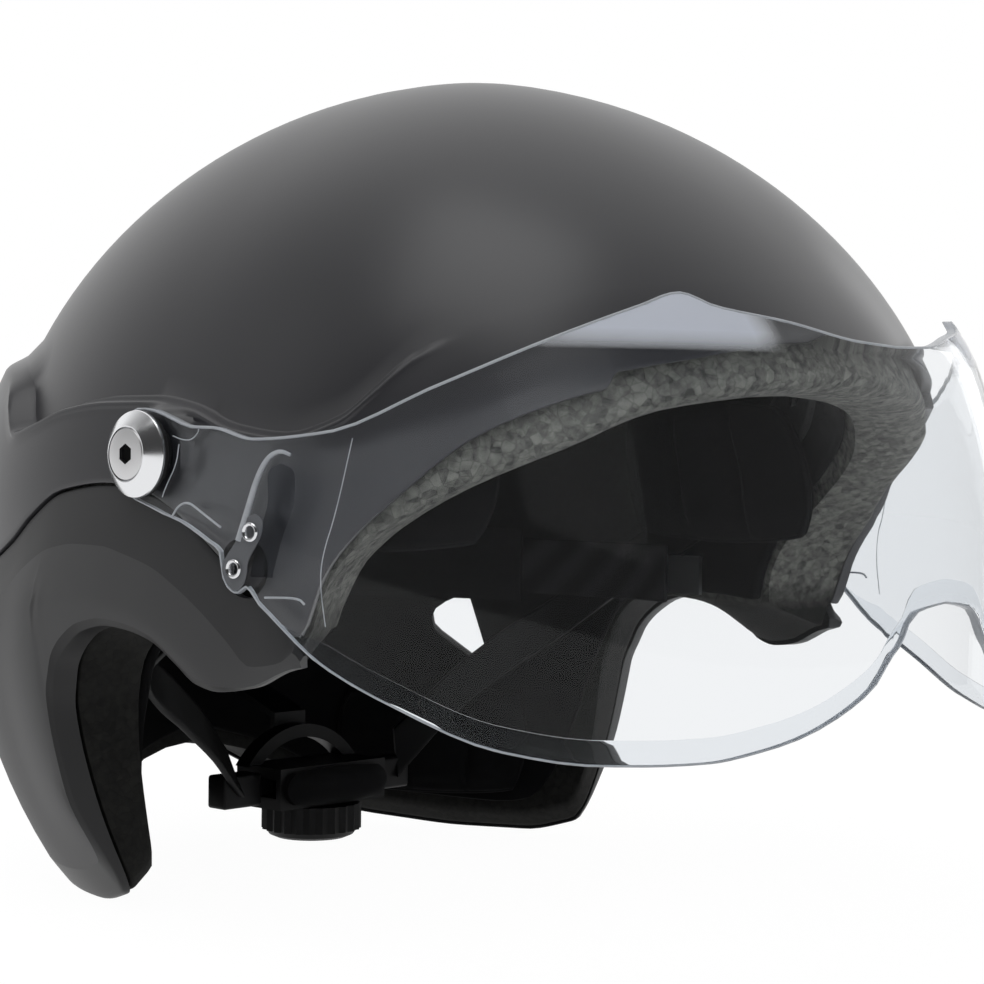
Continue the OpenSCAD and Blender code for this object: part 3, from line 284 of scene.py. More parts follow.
def start(name, columns, zone=None, crisp_rows=()):
    """A grid primitive with one vertex per point, moved to the points. The zone of a
    face's row is its material, and edges along crisp_rows stay sharp."""
    n, m = len(columns), len(columns[0])
    bpy.ops.mesh.primitive_grid_add(x_subdivisions=m - 1, y_subdivisions=n - 1, size=1)
    piece = named(bpy.context.object, name)
    points = np.array([[tuple(p) for p in c] for c in columns], float).reshape(-1, 3) * MM
    piece.data.vertices.foreach_set("co", points.ravel())
    if zone:
        for face in piece.data.polygons:
            face.material_index = zone(face.index % (m - 1))
    if crisp_rows:
        for edge in piece.data.edges:
            a, b = edge.vertices
            if a % m == b % m and a % m in crisp_rows:
                edge.use_edge_sharp = True
    piece.data.update()
    return piece


def edit(*steps):
    """Runs mesh operators in edit mode, each one on the whole mesh."""
    bpy.ops.object.mode_set(mode="EDIT")
    for operator, settings in steps:
        bpy.ops.mesh.select_all(action="SELECT")
        operator(**settings)
    bpy.ops.mesh.select_all(action="DESELECT")
    bpy.ops.object.mode_set(mode="OBJECT")


# Steps for edit
FACE_OUT = (bpy.ops.mesh.normals_make_consistent, {"inside": False})
FILL = (bpy.ops.mesh.fill_holes, {"sides": 0})


def merge(distance):
    return bpy.ops.mesh.remove_doubles, {"threshold": distance}


def close_up(piece, holes=False):
    """Merges doubled points, closes open ends and turns the faces outwards."""
    edit(merge(0.00002), *([FILL] if holes else []), FACE_OUT)
    return piece


def corner(edge, ahead, across, r):
    """Three points that round the corner where two faces meet."""
    r = min(r, 0.3 * (ahead - edge).length, 0.45 * (across - edge).length)
    if r < 1e-6:
        return [edge.copy(), edge.copy(), edge.copy()]
    u, e = (ahead - edge).normalized(), (across - edge).normalized()
    return [edge + u * r, edge + (u + e) * (0.29 * r), edge + e * r]


def domed(outer, inner, r):
    """A column from the crown down the outside, round the rim and up the inside."""
    return (
        outer[:-1]
        + corner(outer[-1], outer[-2], inner[-1], r)
        + corner(inner[-1], inner[-2], outer[-1], r)[::-1]
        + inner[-2::-1]
    )


def looped(outer, inner, r):
    """A closed section: down the outside, round the foot, up the inside, round the top."""
    top = corner(outer[0], outer[1], inner[0], r)[::-1]
    side = domed(outer, inner, r)[1:-1]
    return top + side + corner(inner[0], inner[1], outer[0], r) + [top[0]]


def turned(name, profile, steps=96):
    """A lathe-turned piece about +Z from rows of [radius, height], spun in edit mode."""
    bpy.ops.mesh.primitive_circle_add(vertices=len(profile), fill_type="NOTHING")
    piece = named(bpy.context.object, name)
    for v, (r, z) in zip(piece.data.vertices, profile):
        v.co = (r * MM, 0, z * MM)
    about_z = {"steps": steps, "angle": math.tau, "center": (0, 0, 0), "axis": (0, 0, 1)}
    edit((bpy.ops.mesh.spin, about_z), merge(0.000005))
    return close_up(piece)


def settle(piece, spot, out):
    """Turns a piece's +Z to out, moves it to spot and bakes both into its mesh."""
    turn = Vector(out).to_track_quat("Z", "Y").to_matrix().to_4x4()
    piece.data.transform(Matrix.Translation(Vector(spot) * MM) @ turn)
    return piece


def peg(sides, radius, depth):
    bpy.ops.mesh.primitive_cylinder_add(vertices=sides, radius=radius * MM, depth=depth * MM)
    return bpy.context.object


def mirrored(piece, name):
    """A copy for the wearer's left, with its own mesh."""
    copy = piece.copy()
    copy.data = piece.data.copy()
    bpy.context.collection.objects.link(copy)
    copy.data.transform(Matrix.Scale(-1, 4, (1, 0, 0)))
    copy.data.flip_normals()
    return named(copy, name)


def joined(pieces):
    select_only(*pieces)
    bpy.ops.object.join()
    return bpy.context.object


def twin(piece, name):
    """One piece that is on the wearer's right and on the left."""
    return named(joined([piece, mirrored(piece, name + "_left")]), name)


def apply_all(piece):
    select_only(piece)
    for m in list(piece.modifiers):
        bpy.ops.object.modifier_apply(modifier=m.name)
    return piece


def cut(piece, *cutters):
    """Takes the cutters' space out of a piece."""
    for cutter in cutters:
        m = piece.modifiers.new("cut", "BOOLEAN")
        m.operation, m.object, m.solver = "DIFFERENCE", cutter, "EXACT"
    return apply_all(piece)


def tube(name, points, radius, cyclic=False, taper=1.0):
    """A round bead along points, such as piping or a moulded rib, which may thin out."""
    line = bpy.data.curves.new(name, "CURVE")
    line.dimensions = "3D"
    line.bevel_depth = radius * MM
    line.bevel_resolution = 3
    line.use_fill_caps = True
    spline = line.splines.new("POLY")
    spline.points.add(len(points) - 1)
    for k, (p, q) in enumerate(zip(spline.points, points)):
        p.co = (*[c * MM for c in q], 1)
        p.radius = mix(1, taper, k / (len(points) - 1))
    spline.use_cyclic_u = cyclic
    piece = bpy.data.objects.new(name, line)
    bpy.context.collection.objects.link(piece)
    select_only(piece)
    bpy.ops.object.convert(target="MESH")
    return bpy.context.object


def finish(piece, body, finishes, stands_for, smooth):
    """Gives a piece its finishes, its smoothing and its place in the frame."""
    zones = [face.material_index for face in piece.data.polygons]
    piece.data.materials.clear()
    for m in finishes:
        piece.data.materials.append(m)
    piece.data.polygons.foreach_set("material_index", zones)
    select_only(piece)
    bpy.ops.object.shade_smooth_by_angle(angle=math.radians(smooth), keep_sharp_edges=True)
    piece.select_set(False)
    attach(piece, body)
    if stands_for:
        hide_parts(*stands_for)
    return piece


# Finishes


def linear(hex_colour):
    """An sRGB hex colour as the linear numbers that a shader takes."""
    values = [int(hex_colour[i : i + 2], 16) / 255 for i in (1, 3, 5)]
    return tuple(
        v / 12.92 if v <= 0.04045 else ((v + 0.055) / 1.055) ** 2.4 for v in values
    ) + (1.0,)


def add(material, kind, links=None, **settings):
    """Adds a node. links maps an input to a value or to another node's output."""
    node = material.node_tree.nodes.new(kind)
    for name, value in settings.items():
        setattr(node, name, value)
    for name, value in (links or {}).items():
        if isinstance(value, bpy.types.NodeSocket):
            material.node_tree.links.new(value, node.inputs[name])
        else:
            node.inputs[name].default_value = value
    return node


def per_mm(size):
    """Scale of a pattern whose grain repeats every size millimetres."""
    return 1000 / size


def noise(m, place, size, detail, distortion=0.0):
    """Soft noise in blotches about size millimetres across."""
    links = {"Vector": place, "Scale": per_mm(size), "Detail": detail, "Distortion": distortion}
    return add(m, "ShaderNodeTexNoise", links).outputs["Fac"]


# A wave texture repeats every tau / 20 units, which makes its bands about six threads wide
WAVE_SPREAD = 0.32 / math.tau


def waves(m, place, thread, links=None, **settings):
    """Even bands, drawn wider than threads of this many millimetres, so that they show."""
    links = {"Vector": place, "Scale": per_mm(thread) * WAVE_SPREAD, **(links or {})}
    return add(m, "ShaderNodeTexWave", links, **settings).outputs["Fac"]


def remap(m, value, low, high, start=0.0, full=1.0):
    """Low where the value is at start, high where it is full, and even between."""
    links = {"Value": value, "From Min": start, "From Max": full, "To Min": low, "To Max": high}
    return add(m, "ShaderNodeMapRange", links).outputs[0]


def calc(m, operation, a, b=0.0):
    return add(m, "ShaderNodeMath", {0: a, 1: b}, operation=operation).outputs[0]


def mix_values(m, t, a, b):
    return add(m, "ShaderNodeMix", {0: t, 2: a, 3: b}).outputs[0]


def mix_colours(m, t, a, b, blend="MIX"):
    """Mixes two colours, each a hex string or another node's output."""
    a, b = [linear(c) if isinstance(c, str) else c for c in (a, b)]
    links = {"Factor": t, 6: a, 7: b}
    return add(m, "ShaderNodeMix", links, data_type="RGBA", blend_type=blend).outputs[2]


def shaded(m, colour, shade):
    return mix_colours(m, 1.0, colour, shade, "MULTIPLY")


def ramp(m, value, dark, light, start=0.0, full=1.0):
    """Dark below start and light above full, with a smooth run between."""
    node = add(m, "ShaderNodeValToRGB", {"Fac": value})
    dark_stop, light_stop = node.color_ramp.elements
    dark_stop.color, light_stop.color = linear(dark), linear(light)
    dark_stop.position, light_stop.position = start, full
    return node.outputs[0]


def bumped(m, height, strength, distance):
    links = {"Height": height, "Strength": strength, "Distance": distance}
    return add(m, "ShaderNodeBump", links).outputs[0]


def mix_shaders(m, t, a, b):
    return add(m, "ShaderNodeMixShader", {0: t, 1: a, 2: b}).outputs[0]


def blank(name):
    """An empty material, and where a point of its piece is."""
    material = bpy.data.materials.new(name)
    material.use_nodes = True
    material.node_tree.nodes.clear()
    return material, add(material, "ShaderNodeTexCoord").outputs["Object"]


def surface(m, colour, rough, **more):
    """A principled surface. An underscore in an input's name stands for its space."""
    colour = linear(colour) if isinstance(colour, str) else colour
    links = {name.replace("_", " "): value for name, value in more.items()}
    links.update({"Base Color": colour, "Roughness": rough})
    return add(m, "ShaderNodeBsdfPrincipled", links).outputs[0]


def shown(m, coat):
    add(m, "ShaderNodeOutputMaterial", {"Surface": coat})
    return m


def satin_painted_shell():
    """Satin paint on a moulded polycarbonate shell: one even charcoal with a broad soft
    shine, and a faint orange peel about 1.5 mm across that only the highlights show."""
    m, place = blank("satin_painted_shell")
    cloud = mix_colours(m, noise(m, place, 45, 3), "#303033", "#343438")
    peel = bumped(m, noise(m, place, 1.5, 2), 0.015, 0.0002)
    return shown(m, surface(m, cloud, 0.34, Specular_IOR_Level=0.6, Normal=peel))


def grained_abs(name, colour, rough):
    """Injection-moulded ABS with a spark-eroded grain of about 0.6 mm: matte, and slightly
    uneven in shade over every 30 mm or so."""
    m, place = blank(name)
    cloud = shaded(m, colour, remap(m, noise(m, place, 30, 2), 0.92, 1.08))
    grain = bumped(m, noise(m, place, 0.6, 4), 0.06, 0.0002)
    return shown(m, surface(m, cloud, rough, Specular_IOR_Level=0.3, Normal=grain))


# The lobes' painted shade is full up to the first height in metres and has faded by the second
PAINTED_SHADE_TOP, UNSHADED_FROM = -0.044, -0.034


def expanded_polystyrene():
    """Grey expanded polystyrene: beads 2.6 mm across pressed together in the mould, softly
    mottled, with a faint dark line where they meet. Low on the rear lobes it is darkened
    to near black as painted shade."""
    m, place = blank("expanded_polystyrene")
    cells = {"Vector": place, "Scale": per_mm(2.6), "Randomness": 0.9}
    beads = add(m, "ShaderNodeTexVoronoi", cells)
    seams = add(m, "ShaderNodeTexVoronoi", cells, feature="DISTANCE_TO_EDGE")
    grey = add(m, "ShaderNodeRGBToBW", {"Color": beads.outputs["Color"]}).outputs[0]
    blotch = mix_values(m, 0.28, noise(m, place, 2.2, 5), grey)
    line = remap(m, seams.outputs["Distance"], 0.72, 1.0, 0.0, 0.08)
    height = add(m, "ShaderNodeSeparateXYZ", {"Vector": place}).outputs["Z"]
    # Painted shade: below the lobes' height the foam is darkened to near black
    shade = calc(m, "MULTIPLY", line, remap(m, height, 0.06, 1.0, PAINTED_SHADE_TOP, UNSHADED_FROM))
    mottle = shaded(m, ramp(m, blotch, "#464644", "#85857F", 0.3, 0.68), shade)
    groove = bumped(m, line, 0.3, 0.0003)
    return shown(m, surface(m, mottle, 0.8, Specular_IOR_Level=0.2, Normal=groove))


def knitted_polyester(name, colour, thread):
    """Brushed warp-knit polyester: soft crossing rows of loops under a patchy nap with a
    faint sheen. The rows are drawn wider than real ones, so that they show."""
    m, place = blank(name)
    sway = {"Distortion": 1.2, "Detail": 1.0}
    rows = [waves(m, place, thread, sway, bands_direction=way) for way in ("DIAGONAL", "Z")]
    nap = shaded(m, colour, remap(m, noise(m, place, 9, 6), 0.6, 1.5))
    loops = bumped(m, calc(m, "MULTIPLY", *rows), 0.35, 0.0004)
    sheen = {"Sheen_Weight": 0.02, "Sheen_Roughness": 0.5}
    return shown(m, surface(m, nap, 0.95, Specular_IOR_Level=0.08, Normal=loops, **sheen))


def woven_nylon():
    """Woven nylon webbing, matte black, with slanting ribs of weft that are drawn wider
    than real ones, so that they show."""
    m, place = blank("woven_nylon")
    ribs = waves(m, place, 1.2, bands_direction="DIAGONAL")
    weft, relief = ramp(m, ribs, "#0E0E0F", "#252527"), bumped(m, ribs, 0.5, 0.0004)
    return shown(m, surface(m, weft, 0.85, Specular_IOR_Level=0.15, Normal=relief))


# The lens's painted reflection, a pale veil, starts and is full at these heights, and these
# distances aside
PAINTED_REFLECTION_LOW, PAINTED_REFLECTION_FULL, PAINTED_REFLECTION_NEAR, PAINTED_REFLECTION_FAR = 26 * MM, 31 * MM, 40 * MM, 48 * MM


def clear_polycarbonate(name, colour, rough, bend, clearness=1.0, with_painted_reflection=False):
    """Clear moulded polycarbonate with a hard coat: it mirrors the room faintly, and its
    thickness adds a cool grey. Lamps shine through it. A low bend keeps the thin wall's
    straight view, as two parallel faces give. Where the lens leans back, under the two
    peaks of its top edge, a painted reflection of the light from above makes it a paler,
    less clear, cool veil."""
    m, place = blank(name)
    haze = bumped(m, noise(m, place, 60, 2), 0.04, 0.002)
    tint = colour
    if with_painted_reflection:
        # Painted reflection: high up and away from the middle the lens is tinted pale and made
        # less clear
        spot = add(m, "ShaderNodeSeparateXYZ", {"Vector": place}).outputs
        high = remap(m, spot["Z"], 0.0, 1.0, PAINTED_REFLECTION_LOW, PAINTED_REFLECTION_FULL)
        aside = remap(m, calc(m, "ABSOLUTE", spot["X"]), 0.0, 1.0, PAINTED_REFLECTION_NEAR, PAINTED_REFLECTION_FAR)
        painted_reflection = calc(m, "MULTIPLY", high, aside)
        clearness = remap(m, painted_reflection, 1.0, 0.12)
        tint = mix_colours(m, painted_reflection, colour, "#DADFEA")
    coat = surface(m, tint, rough, IOR=bend, Transmission_Weight=clearness, Normal=haze)
    lamp = add(m, "ShaderNodeLightPath").outputs["Is Shadow Ray"]
    through = add(m, "ShaderNodeBsdfTransparent", {"Color": linear("#E2E5E8")}).outputs[0]
    return shown(m, mix_shaders(m, lamp, coat, through))


def trimmed_polycarbonate_painted_highlight():
    """The trimmed edge of the lens: cut and flame-polished. The light that it gathers is
    painted into its colour as a thin pale highlight with a slightly cloudy grain."""
    m, place = blank("trimmed_polycarbonate_painted_highlight")
    cloud = mix_colours(m, noise(m, place, 4, 2), "#B4B9C0", "#D6DAE0")
    return shown(m, surface(m, cloud, 0.25, Transmission_Weight=0.2, IOR=1.45))


def turned_metal(name, colour, rough, mark):
    """Metal turned on a lathe and polished: a bright mirror with faint rings round the
    pivot, drawn wider apart than real tool marks, so that they show."""
    m, place = blank(name)
    pivot = {"Vector": place, "Location": (0, -PIVOT_Y * MM, -PIVOT_Z * MM)}
    centred = add(m, "ShaderNodeMapping", pivot).outputs[0]
    rings = waves(m, centred, mark, wave_type="RINGS", rings_direction="X")
    smear = remap(m, noise(m, place, 6, 3), rough * 0.85, rough * 1.25)
    return shown(m, surface(m, colour, smear, Metallic=1.0, Normal=bumped(m, rings, 0.06, 0.0001)))


def plated_metal(name, colour, rough):
    """Pressed or rolled metal with a thin plating: bright, with a fine uneven polish."""
    m, place = blank(name)
    smear = remap(m, noise(m, place, 3, 4), rough * 0.8, rough * 1.3)
    return shown(m, surface(m, colour, smear, Metallic=1.0))


def moulded_rubber():
    """Moulded black rubber: matte, with a dusty bloom in patches of a few millimetres."""
    m, place = blank("moulded_rubber")
    bloom = mix_colours(m, noise(m, place, 4, 4), "#0E0E0F", "#1B1B1C")
    return shown(m, surface(m, bloom, 0.65))


def moulded_nylon(name, colour, rough=0.5):
    """Moulded nylon or acetal: a dull sheen with faint flow marks about 8 mm apart."""
    m, place = blank(name)
    flow = noise(m, place, 8, 3, 1.5)
    shade = shaded(m, colour, remap(m, flow, 0.8, 1.2))
    smear = remap(m, flow, rough * 0.9, rough * 1.15)
    return shown(m, surface(m, shade, smear, Specular_IOR_Level=0.14))


PAINTED = satin_painted_shell()
# The wing is one grained ABS in three tones: painted shade on the upper slope, painted light on
# the lower slope, and the darkest painted shade on the rim's chamfer and inside
WING_UPPER_PAINTED_SHADE = grained_abs("grained_abs_upper_painted_shade", "#3B3B3C", 0.5)
WING_LOWER_PAINTED_LIGHT = grained_abs("grained_abs_lower_painted_light", "#4B4B4C", 0.55)
WING_EDGE_PAINTED_SHADE = grained_abs("grained_abs_edge_painted_shade", "#222223", 0.45)
FOAM = expanded_polystyrene()
# Near-black colour for the foam in the latch wells, standing in as painted shade of the recesses
LATCH_WELL_PAINTED_SHADE = moulded_nylon("latch_well_painted_shade", "#0A0A0A", 0.7)
# The lining's near-black is its own colour and also stands in as painted shade for the unlit
# inside of the helmet
LINING_AND_PAINTED_SHADE = knitted_polyester("knitted_polyester_lining", "#0E0E0F", 1.2)
PADDING = knitted_polyester("knitted_polyester_pad", "#121213", 1.0)
WEBBING = woven_nylon()
CLEAR = clear_polycarbonate("clear_polycarbonate", "#F0F2F4", 0.02, 1.22, with_painted_reflection=True)
# A darker grey tint over the moulded tab, as the tab's painted shadow
TAB_PAINTED_SHADOW = clear_polycarbonate("moulded_tab_painted_shadow", "#C2C4C8", 0.05, 1.1)
HAZED = clear_polycarbonate("hazed_polycarbonate", "#F2F4F6", 0.06, 1.1)
STRIP = clear_polycarbonate("grey_strip_polycarbonate", "#8E9094", 0.1, 1.12, clearness=0.5)
# Pale edge colour for the lens's trimmed edges and ribs, as painted highlight
EDGE_PAINTED_HIGHLIGHT = trimmed_polycarbonate_painted_highlight()
CAP_METAL = turned_metal("polished_aluminium", "#E6E7E9", 0.18, 0.8)
SCREW_METAL = turned_metal("turned_steel", "#D2D2D3", 0.3, 0.6)
EYELET_METAL = plated_metal("nickel_plated_brass", "#DADBDD", 0.14)
ANCHOR_METAL = plated_metal("zinc_plated_steel", "#9A9B9D", 0.35)
BRASS = plated_metal("turned_brass", "#B08D4A", 0.3)
MAGNET = plated_metal("black_nickel_magnet", "#2A2A2C", 0.3)
RUBBER = moulded_rubber()
NYLON = moulded_nylon("black_nylon", "#0B0B0C")
DIAL = moulded_nylon("black_nylon_dial", "#080809", 0.5)
ACETAL = moulded_nylon("natural_acetal", "#CFCBBE", 0.35)
SOCKET_BLACK = moulded_nylon("socket_shade", "#060606", 0.8)

# The shells

# The flat boss round each pivot: how far out it stands, its radius and its soft edge
BOSS_X, BOSS_R, BOSS_FADE = HALF_W + BELT_SIDE + 0.2, 11, 2


def dome_column(th):
    step, edge = along(STEP_LINE, abs(th)), shell_edge(th)

    def sheet(depth):
        heights = (step + STEP_H / 2, step - STEP_H / 2, step - STEP_H / 2 - 2, edge)
        top, foot, lip, last = [level_of(z, depth) for z in heights]
        levels = from_crown(top, 26)[:-1] + run(top, foot, 6)[:-1]
        levels += run(foot, lip, 4)[:-1] + run(lip, last, 12)
        return [skin(th, level, depth) for level in levels]

    outer = sheet(0)
    for p in outer:
        near = math.hypot(p.y - PIVOT_Y, p.z - PIVOT_Z)
        blend = 1 - ease((near - BOSS_R) / BOSS_FADE)
        p.x = math.copysign(mix(abs(p.x), BOSS_X, blend), p.x) if blend > 0 else p.x
    return domed(outer, sheet(SHELL_WALL), 0.7)


# The lens. Reach is how far ahead it stands at a height, and top and foot are heights at
# an angle round the pivots
LENS_BEND = 2.2
LENS_WALL = 2.5
LENS_HALF_W = HALF_W + BELT_SIDE + 2
LENS_REACH = [
    [-75, 160], [-34, 158], [0, 152.5], [15, 148.5], [30, 142.5], [40, 134.5], [46, 128],
]
LENS_TOP = [
    [0, 29.8], [6.6, 30.5], [15.6, 34.3], [23.6, 37.1], [27.3, 40.2], [31.9, 36.8], [40, 29.6],
    [52.2, 17.4], [63.7, 6.7], [72.8, 5], [78.7, 7.8], [81.8, 8], [85, 10], [88, 12],
    [90.5, 12.6], [92.8, 11], [94.6, 7.5], [95.6, 2],
]
LENS_FOOT = [
    [0, -33.3], [2, -33.8], [5.2, -35.6], [7.2, -42.6], [8.5, -45.5], [10.5, -51.6],
    [13.3, -56.5], [18.5, -62.8], [22.4, -65.7], [27.5, -68.2], [33.3, -68.8], [36.9, -68.8],
    [45.6, -66.2], [55.9, -57.1], [64.5, -47.5], [70.5, -37], [72.3, -33.8], [73.5, -30.7],
    [74.2, -31.4], [74.9, -32.3], [76.2, -30.9], [77.1, -27], [77.3, -22.8], [79.4, -19.9],
    [84, -15.2], [86.3, -13.9], [88.5, -12.3], [90.8, -10.8], [92.8, -9], [94.6, -5.5],
    [95.6, 0],
]
LENS_ANGLES = [
    0, 3, 6, 7.5, 9, 12, 15, 19, 23, 25.5, 27.3, 29.5, 33, 38, 43, 48, 53, 58, 63, 67, 70.5,
    73, 74.2, 75.2, 76.2, 77.4, 78.6, 79.4, 82, 85, 88, 91, 93, 94.8, 95.5,
]
# Angle and height of each side's two eyelets, the lower one first
EYELETS = ((75.1, -26.3), (72.9, -17.4))
PIVOT_BORE_R, EYELET_BORE_R = 5.2, 2.1


def lens_point(th, z, out=0.0):
    s, c = math.sin(math.radians(th)), math.cos(math.radians(th))
    reach = along(LENS_REACH, z) + PIVOT_Y + out
    bent = (abs(s) / (LENS_HALF_W + out)) ** LENS_BEND + (abs(c) / reach) ** LENS_BEND
    r = bent ** (-1 / LENS_BEND)
    return Vector((-r * s, PIVOT_Y - r * c, z))


def lens_out(th, z):
    side = lens_point(th + 1, z) - lens_point(th - 1, z)
    drop = lens_point(th, z - 1) - lens_point(th, z + 1)
    return side.cross(drop).normalized()


def wall_frame(th, z, depth):
    """A place on the wall and the level direction straight out of it."""
    p = skin_z(th, z, depth, 0)
    q = skin_z(th + 2, z, depth, 0) - skin_z(th - 2, z, depth, 0)
    out = Vector((q.y, -q.x, 0)).normalized()
    if out.dot(Vector((p.x, p.y - DOME_Y, 0))) < 0:
        out.negate()
    return p, out


# The latch recess goes through both shells, behind the visor's lower eyelet
LATCH_R = 7.4
# The vents' outline stands at this height and turn from the back, from here out this deep
VENT_Z, VENT_TURN, VENT_NEAR, VENT_DEEP = -56.5, math.radians(46.7), 60, 120


def latch_cutters():
    latch = lens_point(*EYELETS[0])
    th = math.degrees(math.atan2(-latch.x, DOME_Y - latch.y))
    p, out = wall_frame(th, latch.z, FOAM_OUT - BELT_SIDE)
    return [
        settle(peg(72, LATCH_R, 12), (side * p.x, p.y, p.z), (side * out.x, out.y, 0))
        for side in (1, -1)
    ]


def vent_cutters():
    """Prisms of the rear vents' outline, with softened corners, pointing out at the back."""
    outline = [
        [-3, 13.5], [4.5, 10], [8, 7.5], [9.3, 4.5], [8.6, 0.5], [6, -2], [-9.5, -13],
        [-11, -12.5], [-10.6, -10.5],
    ]
    bpy.ops.mesh.primitive_circle_add(vertices=len(outline), fill_type="NGON")
    vent = bpy.context.object
    for v, (x, z) in zip(vent.data.vertices, outline):
        v.co = (x * MM, VENT_NEAR * MM, (z + VENT_Z) * MM)
    backwards = {"TRANSFORM_OT_translate": {"value": (0, VENT_DEEP * MM, 0)}}
    edit((bpy.ops.mesh.extrude_region_move, backwards), FACE_OUT)
    middle = Matrix.Translation((0, DOME_Y * MM, 0))
    vent.data.transform(middle @ Matrix.Rotation(VENT_TURN, 4, "Z"))
    return [vent, mirrored(vent, "vent_left")]


# The wing's rim flares out by so much below the ridge, less behind an angle and far down
FLARE, FLARE_OVER, FLARE_TO, FLARE_FOOT_Z = 4, 14, 106, -88
WING_GAP = 0.5


def wing_column(th):
    a = abs(th)
    top = along(SEAM_LINE, a) - WING_GAP - 2 * max(SEAM_ANGLES[0] - a, 0)
    foot = along(RIM_LINE, a)
    ridge = clamp(along(CREASE_LINE, a), foot + 1.2, top - 1.2)
    rows = [(top, 0.8), (mix(top, ridge, 0.6), -0.52), (ridge, -1.6)]
    rows += [(mix(ridge, foot, 0.5), -1.12), (mix(ridge, foot, 0.9), -0.48), (foot, 0.8)]
    fine = []
    for (z0, d0), (z1, d1) in zip(rows, rows[1:]):
        fine += zip(run(z0, z1, 4)[:-1], run(d0, d1, 4)[:-1])
    fine.append(rows[-1])

    def flare(z):
        behind, down = ease((a - FLARE_TO) / 16), ease((FLARE_FOOT_Z - z) / 28)
        return FLARE * clamp((ridge - z) / FLARE_OVER) * (1 - behind) * (1 - down)

    outer = [skin_z(th, z, d - flare(z)) for z, d in fine]
    inner = [skin_z(th, z, SHELL_WALL) for z, d in fine]
    return looped(outer, inner, 0.8)


latches, vents = latch_cutters(), vent_cutters()
columns = [dome_column(th) for th in all_round(BROW_ANGLES + SEAM_ANGLES, 3)]
dome = cut(close_up(start("dome_shell", columns)), *latches)
finish(dome, "helmet", [PAINTED], ["upper_shell"], 32)

# Rows above the ridge take the painted shade, rows below it the painted light, and rows from the
# chamfer round the rim and up the inside the darkest painted shade
RIDGE_ROW, CHAMFER_ROW = 10, 18


def wing_zone(row):
    return 0 if row < RIDGE_ROW else 1 if row < CHAMFER_ROW else 2


columns = [wing_column(th) for th in from_tip(RIM_ANGLES, 3)]
wing = start("wing_shell", columns, wing_zone, (RIDGE_ROW, CHAMFER_ROW))
cut(close_up(wing, holes=True), *latches, *vents)
wing_finishes = [WING_UPPER_PAINTED_SHADE, WING_LOWER_PAINTED_LIGHT, WING_EDGE_PAINTED_SHADE]
finish(wing, "helmet", wing_finishes, ["lower_shell"], 32)

# Foam and the lining

# The foam's edge follows the brow up to this angle and the rim behind it
FOAM_TIP = 64


def foam_edge(th):
    a = abs(th)
    return along(FOAM_BROW_LINE, a) if a < FOAM_TIP else along(RIM_LINE, a) + 0.8


def foam_inner_edge(th):
    edge = foam_edge(th)
    if abs(th) < 93:
        return max(edge, -42)
    return edge + 6 * ease((-90 - edge) / 25)


def foam_outer_edge(th):
    if abs(th) >= FOAM_TIP:
        return foam_edge(th)
    return min(shell_edge(th) - 1.5, mix(shell_edge(th), foam_edge(th), 0.5))


def foam_column(th):
    step, edge = along(STEP_LINE, abs(th)), foam_outer_edge(th)
    heights = (step + STEP_H / 2, step - STEP_H / 2, edge)
    top, foot, last = [level_of(z, FOAM_OUT) for z in heights]
    levels = from_crown(top, 20)[:-1] + run(top, foot, 4)[:-1] + run(foot, last, 10)
    outer = [skin(th, level, FOAM_OUT) for level in levels]
    low = foam_inner_edge(th)
    levels = from_crown(level_of(low, foam_in(low)), 30)
    inner = [skin(th, level, foam_in(height_of(level)), 0) for level in levels]
    a, c = outer[-1], inner[-1]
    shares = run(0, 1, 8)[1:-1]
    if abs(th) < FOAM_TIP:
        z = mix(edge, foam_edge(th), 0.8)
        b = skin_z(th, z, FOAM_OUT + 5) * 2 - (a + c) / 2
        lip = [a * (1 - t) ** 2 + b * (2 * t * (1 - t)) + c * t**2 for t in shares]
        return outer + lip + inner[::-1]
    foot = corner(a, outer[-2], c, 1.2)[:2] + [a.lerp(c, t) for t in shares[:-1]]
    return outer[:-1] + foot + corner(c, inner[-2], a, 1.2)[1::-1] + inner[-2::-1]


def even(columns):
    """Columns of the same length, the short ones padded with their last point."""
    longest = max(len(c) for c in columns)
    return [c + [c[-1]] * (longest - len(c)) for c in columns]


columns = [foam_column(th) for th in all_round(BROW_ANGLES + FOAM_ANGLES, 2)]
foam = cut(close_up(start("foam_liner", even(columns))), *vents)
# The foam in the latch wells is coloured near black, as painted shade of the recesses
wells = [sum((v.co for v in c.data.vertices), Vector()) / len(c.data.vertices) for c in latches]
for face in foam.data.polygons:
    near = min((face.center - well).length for well in wells)
    face.material_index = 1 if near < 1.5 * LATCH_R * MM else 0
finish(foam, "helmet", [FOAM, LATCH_WELL_PAINTED_SHADE], ["eps_liner"], 50)


def lining_column(th):
    levels = from_crown(level_of(along(LINING_EDGE, abs(th)), FOAM_OUT + FOAM_WALL), 36)
    outer = [skin(th, v, lining_out(height_of(v)), 0) for v in levels]
    inner = [skin(th, v, lining_in(height_of(v)), 0) for v in levels]
    return domed(outer, inner, 1.2)


columns = [lining_column(th) for th in all_round(LINING_ANGLES, 3)]
lining = cut(close_up(start("fabric_lining", columns)), *vents)
finish(lining, "helmet", [LINING_AND_PAINTED_SHADE], ["comfort_lining"], 60)

# The pads

BAND_T, BAND_SLACK, BAND_H = 2, 1.2, 15
BAND_IN = lining_in(0) + BAND_SLACK + BAND_T
HUB_Y, HUB_Z = 65, -99
# Shares: a pad's rounding at the corners, drawn-in sides, rim's height and channels' depth
PAD_ROUND, PAD_WAIST, PAD_RIM, PAD_SEAM = 0.62, 0.05, 0.35, 0.3


